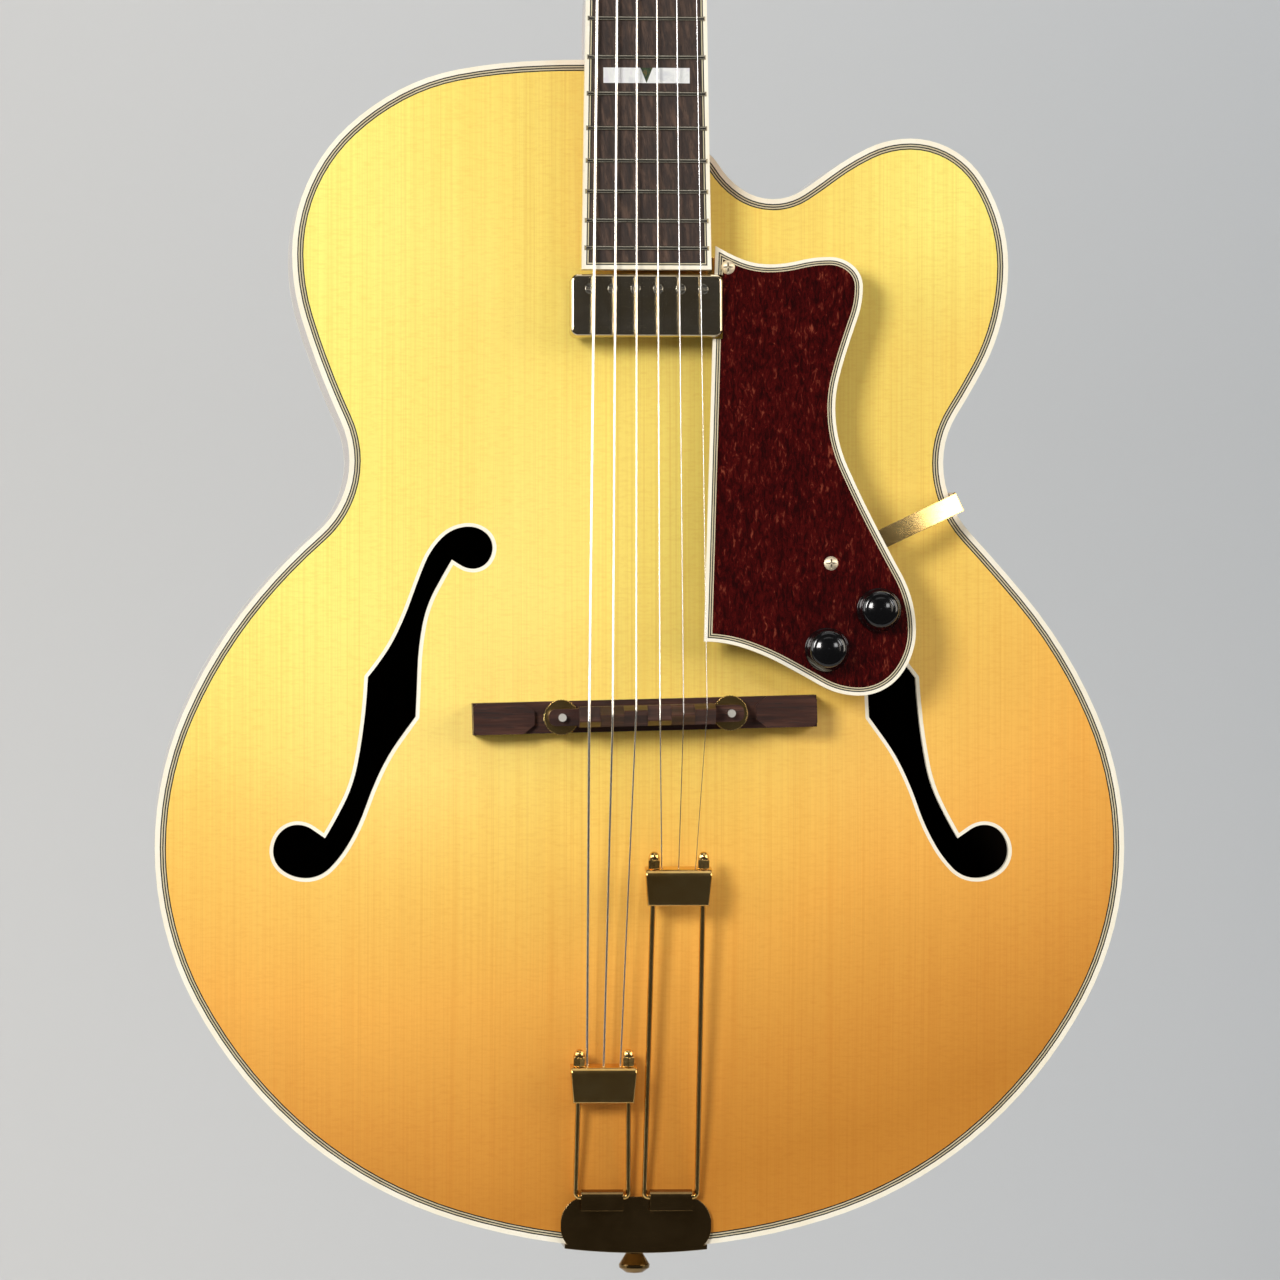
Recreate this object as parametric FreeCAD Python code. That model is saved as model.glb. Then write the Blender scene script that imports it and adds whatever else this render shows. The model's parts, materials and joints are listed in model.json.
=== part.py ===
"""Archtop guitar with a rounded cutaway, a floating pickup and a split two-fork tailpiece.

Frame: +X to the treble side, -Y out of the carved top, +Z along the strings to the headstock.
Origin: where the strap button's axis meets the tail, at the middle of the rim depth.
Lengths are millimetres and angles degrees. Each piece is written to parts/NAME.step.
"""
import FreeCAD, Part
import math
import os
from FreeCAD import Placement, Rotation, Vector

# Clearances that several pieces share
OVERRUN = 30.0             # how far a cutting shape runs past what it cuts
SEAM = 0.05                # glue line where a piece is fitted to a curved face
RUNNING_GAP = 0.05         # radial gap round a turning shaft
SWING_GAP = 0.3            # gap between pieces that pass each other

# Body
BODY_LENGTH = 527.8
LOWER_BOUT = 431.8
RIM_DEPTH = 86.0
PLATE = 5.0                # thickness of the carved plates
RIB = 3.2                  # thickness of the bent sides
TOP_ARCH = 17.0
BACK_ARCH = 15.0
ARCH_BORDER = 6.0          # flat border inside the edge
ARCH_REACH = 170.0         # distance from the edge at which the arch is full
ARCH_STEP = 12.0           # spacing of the points that the arch is drawn through
ARCH_SMOOTHING = 10        # passes that round the ridges of the arch
BINDING = 2.2
BINDING_HEIGHT = 6.5
PLY = 0.55                 # one line of the purfling
PLY_DEPTH = 1.6
PLIES = 5
LINING = 6.0
LINING_HEIGHT = 14.0
NECK_BLOCK_LENGTH = 62.0
NECK_BLOCK_WIDTH = 64.0
TAIL_BLOCK_LENGTH = 26.0
TAIL_BLOCK_WIDTH = 84.0
BAR_WIDTH = 8.0
BAR_DEPTH = 16.0
BAR_LENGTH = 330.0
BAR_X = 44.0
BAR_Z = 270.0
OUTLINE_STEPS = 500        # points that the distance to the edge is measured to

# Body outline: shares of half the lower bout and of the body length, then headings in and out
BODY_SHARES = (
    (0.0, 0.0, 0),
    (0.718, 0.1014, 42),
    (1.0, 0.337, 90),
    (0.791, 0.5506, 130),
    (0.622, 0.6622, 90),
    (0.704, 0.741, 62),
    (0.756, 0.828, 90),
    (0.5535, 0.9354, 180),
    (0.3835, 0.9068, 217),
    (0.2686, 0.8837, 180),
    (0.157, 0.9119, 122),
    (0.1278, 0.93, 93),
    (0.1204, 1.0, 93, 180),
    (-0.12, 1.0, 180),
    (-0.382, 0.9911, 191),
    (-0.607, 0.943, 223),
    (-0.7205, 0.836, 270),
    (-0.654, 0.728, 292),
    (-0.602, 0.6622, 270),
    (-0.791, 0.5506, 230),
    (-1.0, 0.337, 270),
    (-0.718, 0.1014, 318),
)
JACK_NODE = 2              # the outline point that the output jack is fixed at

# F-holes: shares of the hole's length, about the point between its two nicks
F_LENGTH = 155.9
F_X = 111.2
F_Z = 245.0
F_BINDING = 1.6
F_SHARES = (
    (0.2187, 0.4843, 180),
    (0.093, 0.3784, 248),
    (0.0135, 0.1783, 244),
    (-0.068, 0.0558, 231, 267),
    (-0.0981, -0.1931, 259),
    (-0.1892, -0.4015, 239, 146),
    (-0.2668, -0.3637, 180),
    (-0.3361, -0.4387, 270),
    (-0.2437, -0.5157, 0),
    (-0.1264, -0.4246, 59),
    (-0.0237, -0.1931, 63),
    (0.0674, -0.0558, 54, 87),
    (0.0879, 0.2072, 79),
    (0.1706, 0.39, 59, 325),
    (0.2303, 0.3643, 0),
    (0.2861, 0.424, 90),
)

# Strings and scale
SCALE_LENGTH = 647.7
SADDLE_Z = 239.6           # where the scale ends
STRING_HEIGHT = 43.0       # string axes above the rim at the saddle
SADDLE_ACTION = 4.3        # string axes above the fretboard plane at the saddle
NUT_ACTION = 1.5           # underside of the strings above the fretboard at the nut
SADDLE_SPREAD = 52.0
NUT_SPREAD = 35.5
WOUND_GAUGES = (1.27, 1.07, 0.81, 0.61)
PLAIN_GAUGES = (0.41, 0.31)
BASS_STRINGS = 3           # strings of the bass fork and of the left tuners
SADDLE_BEND = 8.0          # bend radius of a string over the saddle
NUT_BEND = 6.0
STRING_GAP = 0.12          # between a string and what it rests on

# Neck
NECK_ANGLE = 3.2
NUT_WIDTH = 43.0
NUT_LENGTH = 5.0
NUT_RISE = 2.2             # top of the nut above the fretboard
BOARD_END_WIDTH = 57.2
BOARD_THICK = 6.5
BOARD_TAIL = 9.4           # fretboard past the last fret
BOARD_BINDING = 1.8
BOARD_PLY = 0.5
BOARD_PLIES = 3
FRETS = 20
FRET_WIDTH = 2.1
FRET_HEIGHT = 1.1
FRET_INSET = 0.85          # fret ends, in from the fretboard's edge
FRET_BEVEL = 35.0          # lean of the fret ends
TANG_WIDTH = 0.6
TANG_DEPTH = 2.2
INLAY_FRETS = (1, 3, 5, 7, 9, 12, 15)
INLAY_WIDTH_SHARE = 0.70   # of the fretboard width there
INLAY_HEIGHT = 6.8
INLAY_DEPTH = 1.2
WEDGE_WIDTH = 5.4
TONGUE = 8.0               # neck wood under the fretboard over the body
TONGUE_INSET = 1.0
NECK_DEPTH_NUT = 14.5      # neck wood behind the fretboard
NECK_DEPTH_HEEL = 18.5
NECK_ROUND_SHARE = 0.72    # lower is squarer
NECK_SECTION_STEPS = 8
HEEL_SWEEP = 92.0          # length over which the heel grows out of the neck
HEEL_STEPS = 9
HEEL_RISE_SHARE = 0.72     # part of the sweep over which the heel reaches its full depth
HEEL_REACH_SHARE = 1.12    # how far the heel's round end would pass the back
HEEL_CAP = 3.0
ROD_RADIUS = 2.5
ROD_LENGTH = 400.0
ROD_CHANNEL = 6.0          # width of its channel
ROD_CHANNEL_DEPTH = 8.2
ROD_NUT_RADIUS = 2.6
ROD_NUT_LENGTH = 10.0

# Headstock
HEAD_ANGLE = 13.0
HEAD_LENGTH = 172.0
HEAD_WIDTH = 76.0
HEAD_THICK = 15.0
HEAD_ROOT = 14.0           # neck wood that runs on into the headstock
OVERLAY = 1.6
HEAD_BINDING = 1.6
HEAD_SHARES = (
    (0.60, 0.0, 48),
    (0.96, 0.21, 84),
    (0.90, 0.86, 92),
    (0.74, 0.955, 165),
    (0.36, 0.962, 176),
    (0.0, 1.0, 180),
)
COVER_WIDTH = 22.0
COVER_LENGTH = 40.0
COVER_START = 5.0
COVER_THICK = 1.8
COVER_SCREW_INSET = 2.5    # from the cover's widest edge
COVER_SHARES = ((1.0, 0.0, 90), (0.62, 0.62, 105), (0.0, 1.0, 180))
POCKET_WIDTH = 9.0
POCKET_LENGTH = 30.0
POCKET_DEPTH = 10.0

# Tuners: places are counted from the nut end of the headstock
TUNER_X = 25.0
TUNER_FIRST = 42.0
TUNER_STEP = 38.0
POST_RADIUS = 3.0
POST_NECK_RADIUS = 2.4
POST_RISE = 15.0           # post above the face of the headstock
POST_HOLE_RADIUS = 0.8
POST_HOLE_RISE = 9.0
WRAP_RISE = 7.0            # height at which the string reaches the post
BUSHING_RADIUS = 4.8
BUSHING_DEPTH = 9.0
WASHER_RADIUS = 7.2
WASHER_THICK = 0.8
HEX_RADIUS = 6.2
HEX_HEIGHT = 2.4
GEAR_TEETH = 14
GEAR_PITCH_RADIUS = 3.85
GEAR_ADDENDUM = 0.55
GEAR_DEDENDUM = 0.69
GEAR_WIDTH = 3.4
WORM_PITCH_RADIUS = 2.2
WORM_TURNS = 5
TOOTH_TIP_SHARE = 0.14     # half tooth at the tip, as a share of the pitch
TOOTH_ROOT_SHARE = 0.28
HOUSING_WIDTH = 17.0
HOUSING_DEPTH = 11.0
HOUSING_WALL = 1.4
HOUSING_FILLET = 2.0
CAVITY_GAP = 0.35
SHAFT_RADIUS = 1.6
KEY_GAP = 3.0              # from the headstock's edge to the button
BUTTON_LENGTH = 13.5
BUTTON_WIDTH = 19.0
BUTTON_THICK = 6.4
BUTTON_FILLET = 1.6
BUTTON_SHARES = ((0.36, 0.0, 55), (1.0, 0.52, 90), (0.42, 0.98, 176), (0.0, 0.94, 180))
COLLAR_RADIUS = 3.0
COLLAR_LENGTH = 3.2
TUNER_SCREW_OFFSET = 8.8   # from the post to the housing's own screw

# Screws
SCREW_HEAD_RADIUS = 3.1
SCREW_HEAD_HEIGHT = 1.5
SCREW_RADIUS = 1.4
SCREW_GAP = 0.03
SMALL_HEAD_RADIUS = 1.9
SMALL_HEAD_HEIGHT = 0.9
SMALL_RADIUS = 0.9
SMALL_SCREW_LENGTH = 8.0
SLOT_WIDTH = 0.7
SLOT_DEPTH_SHARE = 0.6

# Pickup
PICKUP_WIDTH = 67.0
PICKUP_LENGTH = 27.5
PICKUP_DROP = 1.0          # top of the cover below the fretboard plane
PICKUP_GAP = 2.0           # from the end of the fretboard
PICKUP_WALL = 0.8
PICKUP_CORNER = 3.2
PICKUP_EDGE = 1.4
POLE_PITCH = 10.0
POLE_OFFSET = 7.2          # from the middle of the pickup towards the neck
POLE_HEAD_RADIUS = 2.2
POLE_HEAD_RISE = 0.5
POLE_RADIUS = 1.2
POLE_LENGTH = 10.0
BASE_PLATE = 1.0
BOBBIN_WIDTH = 60.0
BOBBIN_LENGTH = 10.4
MAGNET_HEIGHT = 3.0
PICKUP_BRACKET = 1.5
PICKUP_BRACKET_WIDTH = 28.0
PICKUP_BRACKET_LAP = 16.0  # under the neck
PICKUP_ARM_WIDTH = 10.0

# Pickguard: shares of its length from its lower inner corner
GUARD_LENGTH = 198.8
GUARD_X = 25.5
GUARD_Z = 270.0
GUARD_HEIGHT = 30.0        # face above the rim at that corner
GUARD_THICK = 3.0
GUARD_BINDING = 1.5
GUARD_PLY = 0.5
GUARD_PLIES = 4
GUARD_PLY_DEPTH = 1.2
GUARD_SHARES = (
    (0.0272, 0.8803, 88.23, 328),
    (0.1459, 0.8395, 0),
    (0.2822, 0.8566, 0),
    (0.3556, 0.7907, 270),
    (0.3209, 0.6529, 252),
    (0.2933, 0.5176, 270),
    (0.3773, 0.2691, 297),
    (0.4718, 0.0252, 270),
    (0.3446, -0.1197, 180),
    (0.1761, -0.0513, 152),
    (0.0, 0.0, 180, 88.23),
)
GUARD_NOTCH_GAP = 0.5      # round the pickup
UPPER_SCREW_SHARES = (0.0548, 0.8325)
LOWER_SCREW_SHARES = (0.2832, 0.174)
VOLUME_SHARES = (0.272, -0.019)
TONE_SHARES = (0.388, 0.0694)
STRAP_WIDTH = 8.6
STRAP_THICK = 1.5
STRAP_HEADING = 25.6
STRAP_BEND = 33.0          # from its screw to where it slopes down
STRAP_SLOPE = 13.0
STRAP_GAP = 0.6            # between its leg and the side
STRAP_LEG = 42.0           # down the side, from the strap
STRAP_SCREW_DROP = 36.0
STRAP_SCREW_LENGTH = 10.0

# Knobs and potentiometers
KNOB_RADIUS = 9.75
KNOB_TOP_RADIUS = 8.3
KNOB_HEIGHT = 13.0
KNOB_SKIRT = 3.5
KNOB_ROUND = 2.6
KNOB_CROWN = 1.2
KNOB_GAP = 0.6             # above the pickguard
KNOB_BORE = 9.0
SPINDLE_RADIUS = 3.0
POT_RADIUS = 8.2
POT_HEIGHT = 8.0
POT_BUSH_RADIUS = 3.9
POT_BUSH_RISE = 0.4        # bushing above the pickguard
SPINDLE_DEPTH = 5.0        # spindle inside the pot

# Bridge
BRIDGE_SLANT = 1.5
BRIDGE_SETBACK = 2.2
BASE_LENGTH = 152.0
BASE_WIDTH = 14.0
DECK_HEIGHT = 6.0          # above the top of the arch
PAD_HEIGHT = 8.6
PAD_LENGTH = 27.0
PAD_POINT = 5.0
PAD_CLIP_SHARE = 0.55
POST_SPACING = 74.6
STUD_RADIUS = 1.75
STUD_SINK = 5.0
STUD_TOP = 20.5            # above the top of the arch
WHEEL_RADIUS = 7.9
WHEEL_THICK = 2.6
WHEEL_LIFT = 2.4           # above the deck
WHEEL_TEETH = 40
KNURL_DEPTH = 0.3
SADDLE_LENGTH = 86.0
SADDLE_WIDTH = 9.0
EAR_WIDTH = 7.4
EAR_CORNER = 3.0
EAR_HEIGHT = 6.5
CREST_LENGTH = 60.0
CREST_BASE_HEIGHT = 9.5
CREST_WIDTH = 0.5
CREST_STEP_SHARES = (-0.2, 0.05, 0.25, -0.22, 0.0, 0.22)

# Tailpiece
TAIL_PLATE = 2.0
TAIL_X = -2.2              # middle of the plate, a little to the bass side
TAIL_WIDTH = 67.0
TAIL_HEIGHT = 23.0
TAIL_CORNER = 11.4
FLANGE_WIDTH = 63.4
FLANGE_DEPTH = 62.0
FLANGE_SCREW_X = 20.0
FLANGE_SCREW_DEPTHS = (25.0, 52.0)
FLANGE_SCREW_LENGTH = 14.0
FORK_ROD_RADIUS = 1.25
FORK_HINGE_SPACING = 23.5  # between the rods of a fork at the hinge
FORK_ROD_SPACING = 21.9    # and at the crossbar
FORK_BEND = 2.0
BASS_FORK_LENGTH = 60.0    # hinge to the top of the crossbar
TREBLE_FORK_LENGTH = 149.5
BASS_FORK_LEAN = 0.0       # to the treble side
TREBLE_FORK_LEAN = 0.5
FORK_X = 15.3              # each side of the middle of the plate
TAB_GAP = 0.15
TAB_WIDTH = 18.8
TAB_LEG = 6.0
CROSSBAR_WIDTH = 29.7
CROSSBAR_HEIGHT = 16.3
CROSSBAR_DEPTH = 8.0
CROSSBAR_WALL = 1.6
CROSSBAR_TAPER = 1.2       # narrower at the lower end, on each side
CROSSBAR_ROUND = 3.2       # upper front edge
CROSSBAR_EDGE = 0.8        # other front edges
CROSSBAR_PITCH = 7.4
BALL_RADIUS = 1.75
BALL_LENGTH = 3.5
ACORN_RADIUS = 2.9
ACORN_HEIGHT = 7.5
ACORN_NOSE_SHARE = 0.55
ACORN_DOME_SHARES = ((1.0, 0.0), (0.98, 0.3), (0.86, 0.62), (0.62, 0.84), (0.33, 0.96))

# Strap button
BUTTON_SHANK_RADIUS = 2.5
BUTTON_SHANK = 22.0
STRAP_BUTTON_LENGTH = 13.0
STRAP_BUTTON_RADIUS = 7.0
STRAP_BUTTON_SHARES = ((0.69, 0.0), (0.58, 0.12), (0.56, 0.3), (1.0, 0.68), (0.97, 0.8), (0.55, 0.96))

# Output jack
JACK_BORE = 3.25
JACK_SLEEVE_RADIUS = 4.7
JACK_BODY_RADIUS = 7.0
JACK_BODY_LENGTH = 21.0
JACK_END = 2.0
JACK_NUT_RADIUS = 7.4
JACK_NUT_THICK = 2.6
JACK_LIP = 1.4

# Worked out from the values above
HALF_BOUT = LOWER_BOUT / 2
FRONT = -RIM_DEPTH / 2
REAR = RIM_DEPTH / 2
APEX = FRONT - TOP_ARCH
TILT = math.radians(NECK_ANGLE)
NUT_Y = FRONT - (STRING_HEIGHT - SADDLE_ACTION - SCALE_LENGTH * math.sin(TILT))
NUT_Z = SADDLE_Z + SCALE_LENGTH * math.cos(TILT)
X_AXIS = Vector(1, 0, 0)
Y_AXIS = Vector(0, 1, 0)
Z_AXIS = Vector(0, 0, 1)
ORIGIN = Vector(0, 0, 0)
NECK_FRAME = Placement(Vector(0, NUT_Y, NUT_Z), Rotation(X_AXIS, -NECK_ANGLE))
HEAD_FRAME = NECK_FRAME.multiply(
    Placement(Vector(0, BOARD_THICK, NUT_LENGTH), Rotation(X_AXIS, -HEAD_ANGLE)))
GUARD_FRAME = Placement(
    Vector(GUARD_X, FRONT - GUARD_HEIGHT, GUARD_Z), Rotation(X_AXIS, -NECK_ANGLE))
BRIDGE_FRAME = Placement(
    Vector(0, 0, SADDLE_Z - BRIDGE_SETBACK), Rotation(Y_AXIS, -BRIDGE_SLANT))
HINGE_Y = FRONT - TAIL_PLATE - FORK_ROD_RADIUS - TAB_GAP
FORK_ANGLE = math.degrees(math.atan2(
    HINGE_Y - FRONT + STRING_HEIGHT, SADDLE_Z - BRIDGE_SETBACK - TAIL_HEIGHT))
JACK_X = HALF_BOUT * BODY_SHARES[JACK_NODE][0]
JACK_Z = BODY_LENGTH * BODY_SHARES[JACK_NODE][1]
BOARD_LENGTH = SCALE_LENGTH * (1 - 2 ** (-FRETS / 12)) + BOARD_TAIL
BOARD_INSET = BOARD_BINDING + BOARD_PLY * BOARD_PLIES
PICKUP_Z = -BOARD_LENGTH - PICKUP_GAP - PICKUP_LENGTH / 2
PICKUP_HEIGHT = BOARD_THICK + TONGUE - PICKUP_DROP
GUARD_INSET = GUARD_BINDING + GUARD_PLY * GUARD_PLIES
WHEEL_BASE = DECK_HEIGHT + WHEEL_LIFT
SADDLE_BASE = WHEEL_BASE + WHEEL_THICK + RUNNING_GAP
GEAR_Y = HEAD_THICK + HOUSING_DEPTH / 2
WORM_LEAD = 2 * math.pi * GEAR_PITCH_RADIUS / GEAR_TEETH
WORM_Z = -(GEAR_PITCH_RADIUS + WORM_PITCH_RADIUS)
GAUGES = WOUND_GAUGES + PLAIN_GAUGES
FLAT_TURN = 0.0001         # turns below this many radians are straight lines


def placed(shape, frame):
    """A copy of a shape that was drawn in a local frame, moved to that frame."""
    moved = shape.copy()
    moved.Placement = frame.multiply(moved.Placement)
    return moved


def joined(shapes):
    """One compound of separate solids."""
    return Part.makeCompound([solid for shape in shapes for solid in shape.Solids])


def direction(heading):
    """Unit vector in the XZ plane for a heading counted from +X towards +Z."""
    angle = math.radians(heading)
    return math.cos(angle), math.sin(angle)


def arc_middle(start, tangent, end):
    """Middle of the arc that leaves start along tangent and reaches end, or None if it is straight."""
    run, rise = end[0] - start[0], end[1] - start[1]
    chord = math.hypot(run, rise)
    turn = math.atan2(run * tangent[1] - rise * tangent[0], run * tangent[0] + rise * tangent[1])
    if abs(turn) < FLAT_TURN:
        return None
    bulge = chord / 2 * math.tan(turn / 2)
    return (start[0] + end[0]) / 2 - rise / chord * bulge, (start[1] + end[1]) / 2 + run / chord * bulge


def plan_edge(start, middle, end):
    """A line, or an arc through a middle point, in the XZ plane."""
    first, last = Vector(start[0], 0, start[1]), Vector(end[0], 0, end[1])
    if middle is None:
        return Part.LineSegment(first, last).toShape()
    return Part.Arc(first, Vector(middle[0], 0, middle[1]), last).toShape()


def biarc(start, heading_out, end, heading_in):
    """Two arcs that join two points along the given headings."""
    leave, arrive = direction(heading_out), direction(heading_in)
    run, rise = end[0] - start[0], end[1] - start[1]
    square = 2 * (1 - leave[0] * arrive[0] - leave[1] * arrive[1])
    linear = 2 * (run * (leave[0] + arrive[0]) + rise * (leave[1] + arrive[1]))
    constant = -(run * run + rise * rise)
    if abs(square) < FLAT_TURN * FLAT_TURN:
        reach = -constant / linear
    else:
        reach = (math.sqrt(linear * linear - 4 * square * constant) - linear) / (2 * square)
    join = tuple((start[k] + reach * leave[k] + end[k] - reach * arrive[k]) / 2 for k in (0, 1))
    first = arc_middle(start, leave, join)
    second = arc_middle(end, (-arrive[0], -arrive[1]), join)
    if first is None and second is None:
        return [plan_edge(start, None, end)]
    return [plan_edge(start, first, join), plan_edge(join, second, end)]


def outline(nodes):
    """Closed wire in the XZ plane through (x, z, heading in, heading out) nodes."""
    edges = []
    for node, following in zip(nodes, nodes[1:] + nodes[:1]):
        edges += biarc(node[:2], node[-1], following[:2], following[2])
    return Part.Wire(edges)


def scaled(shares, wide, high, x=0, z=0, flip=1):
    """Nodes of an outline from its shares, drawn about a place and mirrored if flip is -1."""
    nodes = []
    for share_x, share_z, *headings in shares:
        if flip < 0:
            headings = [-heading for heading in reversed(headings)]
        nodes.append((x + flip * share_x * wide, z + share_z * high, *headings))
    return nodes if flip > 0 else nodes[::-1]


def symmetric(shares, half_width, high, z=0):
    """Closed outline from its right half, given from the lower end to the middle of the upper end."""
    right = scaled(shares, half_width, high, 0, z)
    left = scaled(shares[:-1], half_width, high, 0, z, -1)
    first, last = right[0], left[-1]
    right[0] = (first[0], first[1], 0, first[-1])
    left[-1] = (last[0], last[1], last[2], 0)
    return outline(right + left)


def rounded_box_outline(half_width, low, high, corner):
    """Rectangle with round corners, in the XZ plane."""
    return outline([
        (half_width - corner, low, 0), (half_width, low + corner, 90),
        (half_width, high - corner, 90), (half_width - corner, high, 180),
        (corner - half_width, high, 180), (-half_width, high - corner, 270),
        (-half_width, low + corner, 270), (corner - half_width, low, 0)])


def prism(wire, front, back):
    """Solid between two depths with the outline of a wire in the XZ plane."""
    face = Part.Face(wire)
    face.translate(Vector(0, front, 0))
    return face.extrude(Vector(0, back - front, 0))


def ring(outer, inner, front, back):
    """Solid between two outlines and two depths."""
    return prism(outer, front, back).cut(prism(inner, front - OVERRUN, back + OVERRUN))


def block(x0, x1, y0, y1, z0, z1):
    """Box between three pairs of limits."""
    return Part.makeBox(x1 - x0, y1 - y0, z1 - z0, Vector(x0, y0, z0))


def polygon_prism(points, front, back):
    """Solid between two depths over straight sides through (x, z) points."""
    corners = [Vector(x, 0, z) for x, z in points]
    return prism(Part.makePolygon(corners + corners[:1]), front, back)


def turned(profile, base=ORIGIN, axis=Z_AXIS):
    """Solid of revolution of a closed (radius, height) polygon about an axis through base."""
    corners = [Vector(radius, 0, height) for radius, height in profile]
    solid = Part.Face(Part.makePolygon(corners + corners[:1])).revolve(ORIGIN, Z_AXIS, 360)
    return placed(solid, Placement(base, Rotation(Z_AXIS, axis)))


def bent_rod(points, bends, radius):
    """Round rod along straight runs joined by tangent arcs."""
    edges = []
    start = points[0]
    for before, corner, after, bend in zip(points, points[1:], points[2:], bends):
        back = (before - corner).normalize()
        ahead = (after - corner).normalize()
        half_turn = (math.pi - back.getAngle(ahead)) / 2
        reach = bend * math.tan(half_turn)
        inward = (back + ahead).normalize()
        middle = corner + inward * (bend / math.cos(half_turn) - bend)
        enter, leave = corner + back * reach, corner + ahead * reach
        edges += [Part.LineSegment(start, enter).toShape(), Part.Arc(enter, middle, leave).toShape()]
        start = leave
    edges.append(Part.LineSegment(start, points[-1]).toShape())
    section = Part.Wire(Part.makeCircle(radius, points[0], points[1] - points[0]))
    return Part.Wire(edges).makePipeShell([section], True, False)


def screw(head_radius, head_height, radius, length, base, axis):
    """Domed screw with a cross slot. The head seats at base, and axis points out of the head."""
    shank = Part.makeCylinder(radius, length, base - axis * length, axis)
    sphere_radius = (head_radius ** 2 + head_height ** 2) / (2 * head_height)
    dome = Part.makeSphere(sphere_radius, base + axis * (head_height - sphere_radius))
    head = dome.common(Part.makeCylinder(head_radius, head_height, base, axis))
    slot_depth = head_height * SLOT_DEPTH_SHARE
    side = axis.cross(X_AXIS if abs(axis.x) < abs(axis.z) else Z_AXIS).normalize()
    for arm in (side, axis.cross(side)):
        frame = Placement(base + axis * head_height, Rotation(arm, axis.cross(arm), axis, "ZXY"))
        slot = block(-head_radius, head_radius, -SLOT_WIDTH / 2, SLOT_WIDTH / 2, -slot_depth, OVERRUN)
        head = head.cut(placed(slot, frame))
    return head.fuse(shank)


def small_screw(base, axis):
    """One of the small wood screws."""
    return screw(SMALL_HEAD_RADIUS, SMALL_HEAD_HEIGHT, SMALL_RADIUS, SMALL_SCREW_LENGTH, base, axis)


def screw_hole(radius, length, base, axis):
    """What a screw of that size needs cut away below its head."""
    hole = radius + SCREW_GAP
    return Part.makeCylinder(hole, length + SWING_GAP, base - axis * (length + SWING_GAP), axis)


class Body:
    """Outlines, arched faces and the spaces above and below the plates."""

    def __init__(self):
        self.edge = outline(scaled(BODY_SHARES, HALF_BOUT, BODY_LENGTH))
        self.in_binding = self.inset(BINDING)
        self.in_rib = self.inset(RIB)
        self.points = [(p.x, p.z) for p in self.edge.discretize(OUTLINE_STEPS)]
        self.heights = self.arch_heights()
        self.top_face = self.arched_face(FRONT, -TOP_ARCH)
        self.back_face = self.arched_face(REAR, BACK_ARCH)
        self.above_top = self.column(self.top_face, -SEAM, -1)
        self.above_under_top = self.column(self.top_face, PLATE, -1)
        self.behind_under_back = self.column(self.back_face, -PLATE, 1)
        self.top_slab = self.top_face.extrude(Vector(0, PLATE, 0))
        self.f_edges = [outline(scaled(F_SHARES, F_LENGTH, F_LENGTH, -side * F_X, F_Z, side))
                        for side in (1, -1)]
        self.f_outer = [edge.makeOffset2D(F_BINDING) for edge in self.f_edges]

    def inset(self, depth):
        """The body outline moved inward."""
        return self.edge.makeOffset2D(-depth)

    def distance(self, x, z):
        """Distance from a place inside the outline to its edge, and zero outside."""
        inside = False
        nearest = BODY_LENGTH * BODY_LENGTH
        previous = self.points[-1]
        for point in self.points:
            nearest = min(nearest, (point[0] - x) ** 2 + (point[1] - z) ** 2)
            if (point[1] > z) != (previous[1] > z):
                crossing = (z - point[1]) / (previous[1] - point[1])
                if x < point[0] + (previous[0] - point[0]) * crossing:
                    inside = not inside
            previous = point
        return math.sqrt(nearest) if inside else 0.0

    def arch_heights(self):
        """Grid of (x, z, share of the full arch), smoothed."""
        columns = 2 * math.ceil(HALF_BOUT / ARCH_STEP) + 3
        rows = math.ceil(BODY_LENGTH / ARCH_STEP) + 3
        xs = [(k - columns // 2) * ARCH_STEP for k in range(columns)]
        zs = [(k - 1) * ARCH_STEP for k in range(rows)]
        grid = []
        for x in xs:
            line = []
            for z in zs:
                reach = (self.distance(x, z) - ARCH_BORDER) / (ARCH_REACH - ARCH_BORDER)
                reach = min(max(reach, 0.0), 1.0)
                line.append(2 * reach ** 2 - reach ** 4)
            grid.append(line)
        for _ in range(ARCH_SMOOTHING):
            old = [line[:] for line in grid]
            for i in range(1, columns - 1):
                for k in range(1, rows - 1):
                    around = old[i - 1][k] + old[i + 1][k] + old[i][k - 1] + old[i][k + 1]
                    grid[i][k] = (old[i][k] + around / 4) / 2 if old[i][k] > 0 else 0.0
        return [[(x, z, grid[i][k]) for k, z in enumerate(zs)] for i, x in enumerate(xs)]

    def arched_face(self, rim, arch):
        """Smooth face through the arch heights."""
        surface = Part.BSplineSurface()
        surface.interpolate([[Vector(x, rim + arch * share, z) for x, z, share in line]
                             for line in self.heights])
        return surface.toShape()

    def column(self, face, shift, sign):
        """Space on the outer side of an arched face that was shifted in depth."""
        moved = face.copy()
        moved.translate(Vector(0, shift, 0))
        return moved.extrude(Vector(0, sign * (STRING_HEIGHT + RIM_DEPTH), 0))


BODY = Body()


def top_plate():
    plate = BODY.top_slab.common(prism(BODY.in_binding, APEX - OVERRUN, FRONT + PLATE + OVERRUN))
    channel = ring(BODY.in_binding, BODY.inset(BINDING + PLY * PLIES), FRONT - OVERRUN, FRONT + PLY_DEPTH)
    holes = [prism(edge, APEX - OVERRUN, FRONT + OVERRUN) for edge in BODY.f_outer]
    return plate.cut([channel] + holes)


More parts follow.
